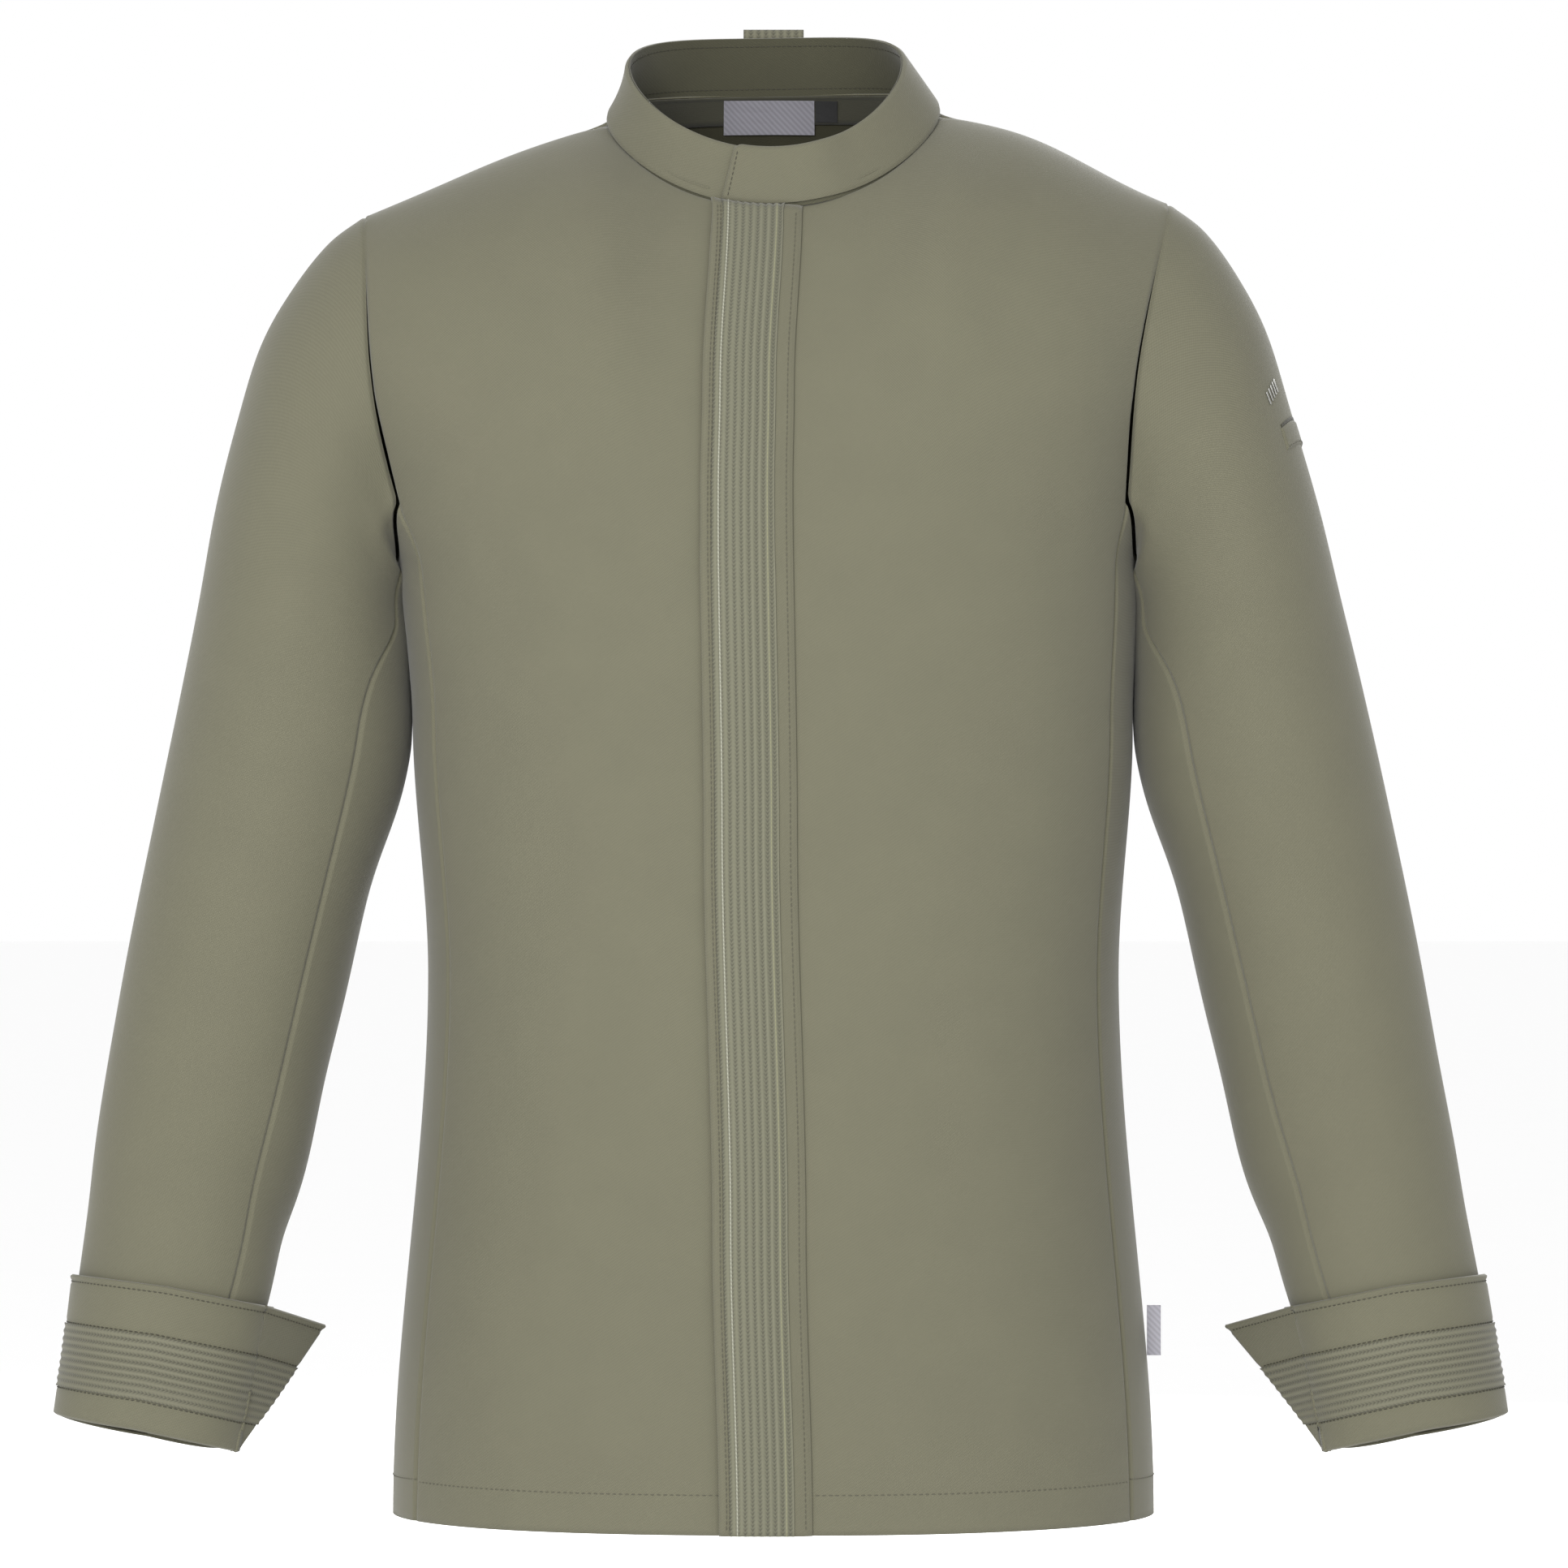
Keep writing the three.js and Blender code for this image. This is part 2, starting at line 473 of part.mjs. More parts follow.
// Hanger loop: ribbed tape doubled into an upright loop behind the collar
function hangerLoop() {
  const lean = Math.atan2(NECK_DEPTH - COLLAR_TOP_DEPTH, COLLAR_BACK_RISE);
  const height = COLLAR_BACK_RISE / Math.cos(lean) + LOOP_PROUD;
  const radius = LOOP_SLOT / 2 + LOOP_WALL;
  const racetrack = (r, low) => {
    const outline = new THREE.Shape();
    outline.absarc(0, height - radius, r, 0, Math.PI, false);
    outline.absarc(0, low, r, Math.PI, 2 * Math.PI, false);
    return outline;
  };
  const outline = racetrack(radius, radius);
  outline.holes.push(racetrack(LOOP_SLOT / 2, radius));
  const extrusion = { depth: TAPE_WIDTH, bevelEnabled: false, curveSegments: 8 };
  const tape = new THREE.ExtrudeGeometry(outline, extrusion);
  tape.translate(0, 0, -TAPE_WIDTH / 2).rotateY(Math.PI / 2).rotateX(Math.PI / 2);
  const mesh = add("hanger_loop", tape, TAPE);
  const foot = collarPoint(Math.PI, 0);
  mesh.position.set(0, foot.y + radius + LOOP_CLEARANCE, foot.z);
  mesh.rotation.x = lean;
}

// Neck tape, label and size tab inside the back neck, and the label in the left side seam
function labels() {
  const below = (x, drop) => clothPoint(x, topOf(x, BACK).z - drop, BACK);
  const inside = (xs, drops, depth, thick) => cloth(xs, drops, below, { off: -depth, thick });
  const along = (from, to) =>
    [from, ...[...across, 0, ...HALF_COLUMNS.map((x) => -x)].filter((x) => x < from && x > to), to];
  const tapeEnd = NECK_COLUMNS.at(-3);
  const tapeDepth = CLOTH + 3 * LAYER_GAP;
  add("neck_tape", inside(along(tapeEnd, -tapeEnd), [NECK_TAPE_HEIGHT, NECK_TAPE_HEIGHT / 2, 1.5],
    tapeDepth, LINING_CLOTH), LINING);
  const labelDepth = tapeDepth + LINING_CLOTH + 2 * LAYER_GAP;
  const labelEnd = LABEL.shift + LABEL.width / 2;
  add("neck_label", inside(along(labelEnd, labelEnd - LABEL.width), range(4, LABEL.height + 2, 2),
    labelDepth, LABEL.thickness), LABEL_CLOTH);
  const tabStart = labelEnd + SIZE_TAB.gap;
  add("size_tab", inside(along(tabStart + SIZE_TAB.width, tabStart), range(3, SIZE_TAB.height + 2, 2),
    labelDepth, SIZE_TAB.thickness), DARK_LABEL);
  const box = new THREE.BoxGeometry(SIDE_LABEL.reach, SIDE_LABEL.thickness, SIDE_LABEL.height);
  const middle = SIDE_LABEL.base + SIDE_LABEL.height / 2;
  const seat = sidePoint(-SIDE_LABEL.forward / (EDGE_DEPTH * FRONT_DEPTH), SIDE_LABEL.base);
  const flag = add("side_label", box, LABEL_CLOTH);
  flag.position.set(seat.x + LAYER_GAP + SIDE_LABEL.reach / 2, -SIDE_LABEL.forward, middle);
}

// Sleeves with their cuffs
const places = range(SLEEVE.length, 0, CUFF_BOTTOM_STATION);
const BACK_ANGLES = FRONT_ANGLES.slice(1, -1).map((a) => -a);
const TOP_ANGLES = [...BACK_ANGLES.filter((a) => a >= SLEEVE_SEAM_BACK).reverse(),
  ...FRONT_ANGLES.filter((a) => a <= MEET_DEGREES)];
const UNDER_ANGLES = [...FRONT_ANGLES.filter((a) => a >= MEET_DEGREES),
  ...BACK_ANGLES.filter((a) => a <= SLEEVE_SEAM_BACK).reverse().map((a) => a + 360)];
const sleeveAngles = (from, to) => [from, ...TOP_ANGLES.filter((a) => a > from && a < to), to];
const onSleeve = (degrees, place) => sleevePoint(place, degrees);
const sleeveCloth = (angles, along, options) => cloth(angles, along, onSleeve, options);

const pocketBottom = POCKET.top + POCKET.mouth + POCKET.depth;
const pocketAngles = (margin) => sleeveAngles(POCKET.back + margin, POCKET.front - margin);
function pocketMouth() {
  const rows = range(2, POCKET.top, POCKET.top + POCKET.mouth);
  return solid(sleeveCloth(pocketAngles(3), rows, { off: CLOTH, thick: 4 * CLOTH + POCKET_CLOTH }));
}
function pocketBag() {
  const hung = CLOTH + 2 * LAYER_GAP;
  const wall = POCKET_CLOTH;
  const outerRows = range(6, POCKET.top - 0.02, pocketBottom);
  const innerRows = range(6, POCKET.top - 0.08, pocketBottom - 0.02);
  const outer = solid(sleeveCloth(pocketAngles(1), outerRows, { off: -hung, thick: POCKET_ROOM + 2 * wall }));
  const room = solid(sleeveCloth(pocketAngles(2), innerRows, { off: -hung - wall, thick: POCKET_ROOM }));
  return outer.subtract(room).subtract(pocketMouth());
}

function sleeves() {
  const trim = seams(2.6, 2.6, 1.4, 0);
  const top = sleeveCloth(TOP_ANGLES, places, { trim });
  add("left_top_sleeve", geometryOf(solid(top).subtract(pocketMouth())), TWILL);
  add("right_top_sleeve", mirrored(top), TWILL);
  addPair("under_sleeve", sleeveCloth(UNDER_ANGLES, places, { trim }), TWILL);
  add("sleeve_pocket_bag", geometryOf(pocketBag()), LINING);
  const weltTop = POCKET.top + POCKET.mouth + 0.01;
  const welt = { off: LAYER_GAP + CLOTH, thick: CLOTH };
  const weltRows = range(3, weltTop, weltTop + POCKET.welt);
  add("sleeve_pocket_welt", sleeveCloth(pocketAngles(-1), weltRows, welt), TWILL);
  const badge = { off: LAYER_GAP + BADGE.thickness, thick: BADGE.thickness };
  const badgeRows = range(3, BADGE.top, BADGE.bottom);
  const badgeAngles = sleeveAngles(BADGE.back, BADGE.front);
  add("sleeve_badge", sleeveCloth(badgeAngles, badgeRows, badge), DARK_LABEL);
}

// The turned-back cuff: how far its outer face stands off the sleeve
const cuffShare = (place) => (CUFF_BOTTOM_STATION - place) / (CUFF_BOTTOM_STATION - CUFF_TOP_STATION);
const cuffOff = (place) => 0.8 + CUFF_CLOTH + CUFF_FLARE * cuffShare(place);
function cuffs() {
  const rows = range(4, CUFF_TOP_STATION, CUFF_BOTTOM_STATION);
  const angles = range(27, CUFF_VENT.back, CUFF_VENT.front);
  const band = { off: (_, place) => cuffOff(place), thick: CUFF_CLOTH, trim: seams(0, 1, 0, 0) };
  addPair("cuff_band", sleeveCloth(angles, rows, band), TWILL);
  const height = sleevePoint(CUFF_TOP_STATION, 0).distanceTo(sleevePoint(CUFF_BOTTOM_STATION, 0));
  const perMillimetre = (CUFF_BOTTOM_STATION - CUFF_TOP_STATION) / height;
  const tapeTop = CUFF_TOP_STATION + CUFF_TAPE_DROP * perMillimetre;
  const tapeRows = range(3, tapeTop, tapeTop + TAPE_WIDTH * perMillimetre);
  const tape = { off: (_, place) => cuffOff(place) + LAYER_GAP + TAPE_CLOTH, thick: TAPE_CLOTH,
    trim: seams(0, 1, 0, 0) };
  addPair("cuff_tape", sleeveCloth(angles, tapeRows, tape), TAPE);
  const out = vec(-WING.inward, WING.back, 0).normalize();
  const wing = (along, place) => {
    const root = sleevePoint(place, CUFF_VENT.front);
    return root.addScaledVector(out, along * lerp(WING.low, WING.high, cuffShare(place)));
  };
  const wingOptions = { off: (_, place) => cuffOff(place), thick: CUFF_CLOTH, trim: seams(1, 0, 0, 0) };
  addPair("cuff_wing", cloth(range(4), rows, wing, wingOptions), TWILL);
}

bodyPanels();
placket();
studs();
collar();
hangerLoop();
labels();
sleeves();
cuffs();

const part = new THREE.Group();
part.add(jacket);
export default part;
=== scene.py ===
"""Looks of a chef's jacket that stands as if worn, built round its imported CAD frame.

Shapes are worked out in millimetres above the hem, with -Y out of the front and +X towards the
wearer's left, and each mesh is put into the frame, in metres, when it is made.
"""
import logging
import math
from dataclasses import dataclass, field
from enum import Enum
from typing import Callable, Sequence

import bmesh
import bpy
import numpy as np
from mathutils import Matrix, Vector


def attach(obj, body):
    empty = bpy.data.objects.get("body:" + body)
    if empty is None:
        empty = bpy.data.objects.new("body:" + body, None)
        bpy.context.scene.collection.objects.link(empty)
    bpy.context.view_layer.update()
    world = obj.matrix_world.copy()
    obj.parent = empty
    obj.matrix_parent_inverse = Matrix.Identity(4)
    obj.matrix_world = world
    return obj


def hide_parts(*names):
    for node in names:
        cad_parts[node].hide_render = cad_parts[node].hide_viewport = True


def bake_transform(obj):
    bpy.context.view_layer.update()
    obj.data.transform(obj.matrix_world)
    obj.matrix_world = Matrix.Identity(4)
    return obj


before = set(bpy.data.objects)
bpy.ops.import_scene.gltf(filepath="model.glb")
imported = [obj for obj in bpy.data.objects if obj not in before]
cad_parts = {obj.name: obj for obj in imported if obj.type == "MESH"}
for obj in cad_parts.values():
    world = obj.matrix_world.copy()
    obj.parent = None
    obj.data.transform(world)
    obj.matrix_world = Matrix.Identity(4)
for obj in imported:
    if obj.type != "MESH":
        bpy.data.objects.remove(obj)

log = logging.getLogger("jacket")
MM = 0.001
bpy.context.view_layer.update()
Array = np.ndarray
FINE = np.array([0.5, 1.0, 1.6, 2.3, 3.2, 4.4])  # how far the rows next to a sewn edge lie from it


class Side(Enum):
    """The wearer's side, as the sign of its x."""

    LEFT = 1
    RIGHT = -1

    @property
    def word(self) -> str:
        """The side's name in the frame."""
        return self.name.lower()


class Face(Enum):
    """The front or back of the body, as the sign of its y."""

    FRONT = -1
    BACK = 1


def ease(t: Array | float) -> Array:
    """A smooth step from 0 to 1."""
    t = np.clip(t, 0, 1)
    return t * t * (3 - 2 * t)


def mix(a: Array | float, b: Array | float, t: Array | float) -> Array:
    """The value that lies a share t of the way from a to b."""
    return a + (b - a) * t


def hump(t: Array | float) -> Array:
    """A bell of height 1 round 0."""
    return np.exp(-np.square(t))


def eased(stations: Sequence[tuple[float, float]], z: Array) -> Array:
    """A value that eases from one named height to the next.

    Args:
        stations: pairs of height and value, from low to high.
        z: the heights wanted.

    Returns:
        The value at each height.
    """
    heights, values = np.array(stations, float).T
    k = np.clip(np.searchsorted(heights, z, side="right") - 1, 0, len(heights) - 2)
    return mix(values[k], values[k + 1], ease((z - heights[k]) / (heights[k + 1] - heights[k])))


def smooth_run(values: Sequence[float], place: Array) -> Array:
    """A smooth curve through evenly placed values, read at a place that counts them."""
    values = np.array(values, float)
    slopes = np.gradient(values)
    k = np.clip(np.floor(place).astype(int), 0, len(values) - 2)
    t = place - k
    a, b, u, v = values[k], values[k + 1], slopes[k], slopes[k + 1]
    return a + t * (u + t * (3 * (b - a) - 2 * u - v + t * (2 * (a - b) + u + v)))


def graded(count: int, length: float, fine_start: bool = True, fine_end: bool = True) -> Array:
    """Steps from 0 to 1 that crowd together at a sewn edge.

    Args:
        count: how many even steps there are.
        length: what the whole run measures, in millimetres.
        fine_start: whether the run starts at a sewn edge.
        fine_end: whether it ends at one.

    Returns:
        The steps, from 0 to 1.
    """
    crowd = FINE / length
    steps = [np.linspace(0, 1, count)]
    steps += [crowd] if fine_start else []
    steps += [1 - crowd] if fine_end else []
    return np.unique(np.concatenate(steps))


@dataclass(frozen=True)
class BodyForm:
    """The body's surface in millimetres: the same sizes as the CAD panels, drawn smoothly."""

    waist: float = 290
    chest: float = 425
    underarm: float = 509
    side_top: float = 542
    shoulder: float = 701
    neck_front: float = 698
    neck_back: float = 771
    neck_side_rise: float = 15
    hem_half: float = 205
    waist_half: float = 186
    chest_half: float = 194
    underarm_half: float = 199
    shoulder_half: float = 216
    armhole_lean: float = 0.138
    armhole_depth: float = 72
    front_depth: float = 138
    neck_half: float = 87
    neck_depth: float = 80
    roundness: float = 2.4
    panel_share: float = 0.93
    chest_fall: float = 190
    tilt: float = 3.2  # how much higher the left shoulder point is held than level
    left_rise: float = 9  # how far the cloth stands up in the middle of each shoulder
    right_rise: float = 4

    def armhole_x(self, z: Array) -> Array:
        """Half width of the body where its armhole runs."""
        return self.shoulder_half - self.armhole_lean * np.maximum(self.shoulder - z, 0)

    def half_width(self, z: Array) -> Array:
        """Half width of the body at height z, below the armhole."""
        seam_top = self.armhole_x(self.side_top) / self.panel_share
        return eased([(0, self.hem_half), (self.waist, self.waist_half), (self.chest, self.chest_half),
                      (self.underarm, self.underarm_half), (self.side_top, seam_top)], z)

    def depth(self, z: Array, face: Face) -> Array:
        """How far the front or back stands from the middle at height z."""
        if face is Face.FRONT:
            return np.full_like(np.asarray(z, float), self.front_depth)
        return eased([(0, 138), (self.waist, 112), (self.chest, 124), (self.side_top, 131)], z)

    @property
    def edge_share(self) -> float:
        """The share of its depth that the body keeps at the panel's edge."""
        return math.sqrt(1 - self.panel_share**self.roundness)

    @property
    def armhole_half(self) -> float:
        """Half height of the armhole."""
        return (self.shoulder - self.underarm) / 2

    @property
    def armhole_middle(self) -> float:
        """Height of the armhole's middle."""
        return (self.shoulder + self.underarm) / 2

    def neck_height(self, x: Array, y: Array) -> Array:
        """Height of the neckline over a point of its ellipse."""
        along = (y + self.neck_depth) / (2 * self.neck_depth)
        level = mix(self.neck_front, self.neck_back, along)
        return level + self.neck_side_rise * (x / self.neck_half) ** 2

    def top(self, x: Array, face: Face) -> tuple[Array, Array]:
        """Where a column of cloth ends: the y and z of the neckline or the shoulder seam."""
        across = np.abs(x) / self.neck_half
        y = face.value * self.neck_depth * np.sqrt(np.clip(1 - across**2, 0, 1))
        along = (np.abs(x) - self.neck_half) / (self.shoulder_half - self.neck_half)
        seam = mix(self.neck_height(self.neck_half, 0), self.shoulder, along)
        return y, np.where(across <= 1, self.neck_height(x, y), seam)

    def cloth(self, x: Array, z: Array, face: Face) -> Array:
        """Points of the front or back cloth, on the column that ends at x, at height z.

        Args:
            x: the columns, named by where they end.
            z: the heights.
            face: the front or the back.

        Returns:
            The points, with x, y and z last.
        """
        x, z = np.broadcast_arrays(np.asarray(x, float), np.asarray(z, float))
        top_y, top_z = self.top(x, face)
        share = np.abs(x) / self.shoulder_half
        edge = np.where(z < self.side_top, self.panel_share * self.half_width(z), self.armhole_x(z))
        at = x * mix(1, edge / self.shoulder_half, ease((share - 0.2) / 0.8))
        inner = np.minimum(self.panel_share * np.abs(at) / edge, self.panel_share)
        crown = (np.sqrt(1 - inner**self.roundness) - self.edge_share) / (1 - self.edge_share)
        rise = ease((z - self.side_top) / (self.armhole_middle - self.side_top))
        edge_depth = mix(self.edge_share * self.depth(z, face), self.armhole_depth, rise)
        full = face.value * mix(edge_depth, self.depth(z, face), crown)
        fall = np.clip((top_z - z) / mix(self.chest_fall, self.armhole_half, share**2), 0, 1)
        soft_y = face.value * self.neck_depth * np.clip(1 - (x / 135) ** 2, 0, 1) ** 1.4
        top_y = mix(top_y, soft_y, ease(fall / 0.4) * (1 - share**4))
        closing = (1 - (1 - fall) ** 2) ** (1 / mix(1.1, 2, ease(share)))
        return np.stack([at, mix(top_y, full, closing), z], -1)

    def side(self, q: Array, z: Array) -> Array:
        """Points of the left side panel; q runs from -1 at its front seam to 1 at its back seam."""
        depth = np.where(q < 0, self.depth(z, Face.FRONT), self.depth(z, Face.BACK))
        y = q * self.edge_share * depth
        x = self.half_width(z) * (1 - (y / depth) ** 2) ** (1 / self.roundness)
        return np.stack(np.broadcast_arrays(x, y, z), -1)

    def armhole(self, degrees: Array) -> Array:
        """Points of the left armhole's edge; 0 is the shoulder point and positive is to the front."""
        turned = np.radians(np.mod(degrees + 180, 360) - 180)
        z = self.armhole_middle + self.armhole_half * np.cos(turned)
        q = np.sqrt(np.clip((z - self.underarm) / (self.side_top - self.underarm), 0, 1))
        points = np.where((turned > 0)[..., None], self.cloth(self.shoulder_half, z, Face.FRONT),
                          self.cloth(self.shoulder_half, z, Face.BACK))
        low = np.where((turned > 0)[..., None], self.side(-q, z), self.side(q, z))
        return np.where((z < self.side_top)[..., None], low, points)

    def settled(self, p: Array) -> Array:
        """The cloth as it hangs: the shoulders out of level and the front edge in a slow wave.

        Args:
            p: points of the even form.

        Returns:
            The points where the cloth lies.
        """
        x, y, z = np.moveaxis(np.asarray(p, float), -1, 0)
        wide = ease((np.abs(x) - 90) / 110)
        lift = self.tilt * np.clip(x / self.shoulder_half, -1, 1) * ease((z - 480) / 200)
        sway = -5 * hump((z - 615) / 120) * wide
        sway = sway - 5 * hump((z - 600) / 75) * hump((np.abs(x) - 203) / 22)
        sway = sway + 4 * ease((260 - z) / 200) * ease((np.abs(x) - 225) / 60)
        full = mix(self.right_rise, self.left_rise, ease(x / 100 + 0.5))
        lift = lift + full * hump((np.abs(x) - 138) / 48) * ease((z - 600) / 80)
        edge = eased([(0, 5.0), (160, 1.5), (370, -3.0), (547, -5.2), (600, -4.4), (700, 0.0)], z)
        front = ease((-y - 40) / 40)
        sway = sway + edge * front * (1 - ease((np.abs(x + 9) - 40) / 110))
        return np.stack([x + sway, y, z + lift], -1)


@dataclass(frozen=True)
class Ring:
    """One ring of the left sleeve, measured out from and below the shoulder point and the underarm."""

    out: float
    down: float
    inner: float
    under: float
    depth: float
    y: float = 0
    lean: float = 0


@dataclass(frozen=True)
class SleeveForm:
    """The left sleeve's surface in millimetres."""

    body: BodyForm
    rings: tuple[Ring, ...] = (
        Ring(0, 0, 0, 0, 72), Ring(20, 15, 1.5, 6, 72), Ring(39, 40, 2.3, 12, 72),
        Ring(55, 70, 2.9, 18, 72), Ring(68, 112, 3.3, 26, 72), Ring(81, 160, 3.6, 40, 72),
        Ring(92, 212, 3.8, 62, 71),
        Ring(103, 262, 4, 99, 70), Ring(116, 324, 14.5, 157, 68, -3, 4),
        Ring(133, 411, 34, 244, 63, -12, 8),
        Ring(146.5, 497, 54.6, 327, 56, -28, 11), Ring(155.5, 556, 71, 384, 52, -39, 11),
        Ring(168, 639, 97.6, 468, 49, -56, 11),
    )
    cuff_top: float = 11.15
    seam_back: float = -120
    rest_in: float = 8.5  # how far the under sleeve leans in against the body
    seam_high: float = 27  # degrees that the front seam runs behind its CAD line, at the armhole
    seam_low: float = 1  # and from the elbow down
    cuff_dip: float = 7  # how much lower the cuff hangs in front
    cuff_sag: float = 4  # and at its outer side

    @property
    def end(self) -> int:
        """Place of the sleeve's lower end."""
        return len(self.rings) - 1

    @property
    def seam_front(self) -> float:
        """Degrees round the sleeve where its front seam runs, in line with the side seam."""
        b = self.body
        return math.degrees(math.acos((b.side_top - b.armhole_middle) / b.armhole_half))

    def _plain(self, place: Array, degrees: Array) -> Array:
        """The sleeve as plain ellipses."""
        def run(name: str) -> Array:
            return smooth_run([getattr(r, name) for r in self.rings], place)
        b, angle = self.body, np.radians(degrees)
        outer = np.stack([b.shoulder_half + run("out"), b.shoulder - run("down")], -1)
        inner = np.stack([b.underarm_half + run("inner"), b.underarm - run("under")], -1)
        middle, half = (outer + inner) / 2, (outer - inner) / 2
        lean, reach = np.radians(run("lean")), run("depth") * np.sin(angle)
        x, z = np.moveaxis(middle + half * np.cos(angle)[..., None], -1, 0)
        return np.stack([x, run("y") - reach * np.cos(lean), z + reach * np.sin(lean)], -1)

    def cloth(self, degrees: Array, place: Array) -> Array:
        """Points of the left sleeve; place counts the rings and degrees run like the armhole's.

        Args:
            degrees: how far round the sleeve.
            place: how far down it.

        Returns:
            The points, with x, y and z last.
        """
        degrees, place = np.broadcast_arrays(np.asarray(degrees, float), np.asarray(place, float))
        gap = self.body.armhole(degrees) - self._plain(np.zeros_like(place), degrees)
        points = self._plain(place, degrees) + gap * np.clip(1 - place / 3, 0, 1)[..., None] ** 1.5
        return points + self._creases(degrees, place)

    def _creases(self, degrees: Array, place: Array) -> Array:
        """Soft creases: inside the elbow, under the arm and above the cuff."""
        inward = np.stack([-np.cos(np.radians(degrees)), np.sin(np.radians(degrees)), 0 * degrees], -1)
        inside = np.clip(-np.cos(np.radians(degrees - 12)), 0, 1) ** 1.5
        elbow = 1.5 * np.sin((place - 7.2) * 3.4 + np.radians(degrees)) * hump((place - 7.8) / 0.9)
        pull = 0.9 * np.sin(np.radians(degrees) * 3 + place * 1.6) * hump((place - 4) / 2)
        low = 1.3 * np.sin(np.radians(degrees) * 2 - place * 4) * hump((place - 10.2) / 1)
        slack = (elbow * inside + pull * inside + low * (0.3 + inside)) * ease((place - 0.3) / 1.5)
        resting = self.rest_in * inside * ease((place - 0.2) / 1.6) * (1 - ease((place - 6.9) / 1.4))
        front, outer = (np.clip(f(np.radians(degrees)), 0, 1) for f in (np.sin, np.cos))
        dip = (self.cuff_dip * front + self.cuff_sag * outer) * ease((place - 10.2) / 1.1)
        return inward * (slack - resting)[..., None] - dip[..., None] * [0, 0, 1]

    def seam_turned(self, degrees: Array, place: Array) -> Array:
        """Degrees of a column at a place; the front seam runs towards the inner side."""
        near = hump((degrees - self.seam_front) / 60)
        return degrees + near * mix(self.seam_high, self.seam_low, ease((place - 4.5) / 2.5))


class ClothGrid:
    """A rectangle of cloth: points at every column and row, in millimetres."""

    def __init__(self, points: Array, columns: Array, rows: Array) -> None:
        """Holds the points and the column and row that each one stands for."""
        self.points, self.columns, self.rows = points, np.asarray(columns), np.asarray(rows)

    @classmethod
    def on(cls, columns: Array, rows: Array, at: Callable[[Array, Array], Array],
           body: BodyForm, side: Side = Side.LEFT) -> "ClothGrid":
        """A grid on a form.

        Args:
            columns: the column values.
            rows: the row values.
            at: gives the points of columns and rows.
            body: the body that the cloth hangs on.
            side: for the right side, the left form is mirrored.

        Returns:
            The grid, its faces outwards.
        """
        points = at(np.asarray(columns)[:, None], np.asarray(rows)[None, :])
        if side is Side.RIGHT:
            points = (points * [-1, 1, 1])[::-1]
            columns = np.asarray(columns)[::-1]
        return cls(body.settled(points), columns, rows)

    @property
    def normals(self) -> Array:
        """The outward direction at each point."""
        normal = np.cross(np.gradient(self.points, axis=0), np.gradient(self.points, axis=1))
        return normal / np.maximum(np.linalg.norm(normal, axis=-1, keepdims=True), 1e-9)

    def raised(self, off: Array | float) -> "ClothGrid":
        """The grid moved outwards by off millimetres."""
        off = np.broadcast_to(off, self.points.shape[:2])
        return ClothGrid(self.points + self.normals * off[..., None], self.columns, self.rows)

    def relaxed(self, rounds: int) -> "ClothGrid":
        """The grid with its inner points smoothed and its edges held."""
        p = self.points.copy()
        for _ in range(rounds):
            around = p[2:, 1:-1] + p[:-2, 1:-1] + p[1:-1, 2:] + p[1:-1, :-2]
            p[1:-1, 1:-1] = (2 * p[1:-1, 1:-1] + around) / 6
        return ClothGrid(p, self.columns, self.rows)

    def across(self) -> Array:
        """Length along the columns' direction at each point, from the first column."""
        steps = np.linalg.norm(np.diff(self.points, axis=0), axis=-1)
        return np.concatenate([np.zeros_like(steps[:1]), np.cumsum(steps, 0)])

    def along(self) -> Array:
        """Length along the rows' direction at each point, from the first row."""
        steps = np.linalg.norm(np.diff(self.points, axis=1), axis=-1)
        return np.concatenate([np.zeros_like(steps[:, :1]), np.cumsum(steps, 1)], 1)

    def sewn(self, start: bool = False, end: bool = False, foot: bool = False, top: bool = False,
             sink: float = 1.5, width: float = 1.5) -> "ClothGrid":
        """The grid with its sewn edges turned in, which draws each seam as a fine groove.

        Args:
            start: whether the first column is sewn.
            end: whether the last column is.
            foot: whether the first row is.
            top: whether the last row is.
            sink: how deep the seam lies.
            width: how far from the seam the cloth starts to turn.

        Returns:
            The grid with grooves.
        """
        across, along = self.across(), self.along()
        dip = np.zeros_like(across)
        for wanted, reach in ((start, across), (end, across[-1] - across),
                              (foot, along), (top, along[:, -1:] - along)):
            if wanted:
                dip = np.maximum(dip, sink * hump(reach / width) - 0.25 * hump((reach - 5) / 2.5))
        return self.raised(-dip)

    def line(self, column: Array | float, row: Array | float, lift: float = 0.15) -> tuple[Array, Array]:
        """Points and outward directions along a line of columns and rows.

        Args:
            column: the column values of the line, or one value.
            row: the row values, or one value.
            lift: how far over the cloth the line lies.

        Returns:
            The points and the directions.
        """
        column, row = np.broadcast_arrays(np.asarray(column, float), np.asarray(row, float))
        order = np.argsort(self.columns)
        i = np.interp(column, self.columns[order], order.astype(float))
        j = np.interp(row, self.rows, np.arange(len(self.rows)))
        i0, j0 = np.floor(i).astype(int), np.floor(j).astype(int)
        i1, j1 = np.minimum(i0 + 1, len(self.columns) - 1), np.minimum(j0 + 1, len(self.rows) - 1)
        u, v = (i - i0)[:, None], (j - j0)[:, None]

        def read(a: Array) -> Array:
            return mix(mix(a[i0, j0], a[i1, j0], u), mix(a[i0, j1], a[i1, j1], u), v)
        normal = read(self.normals)
        return read(self.points) + normal * lift, normal


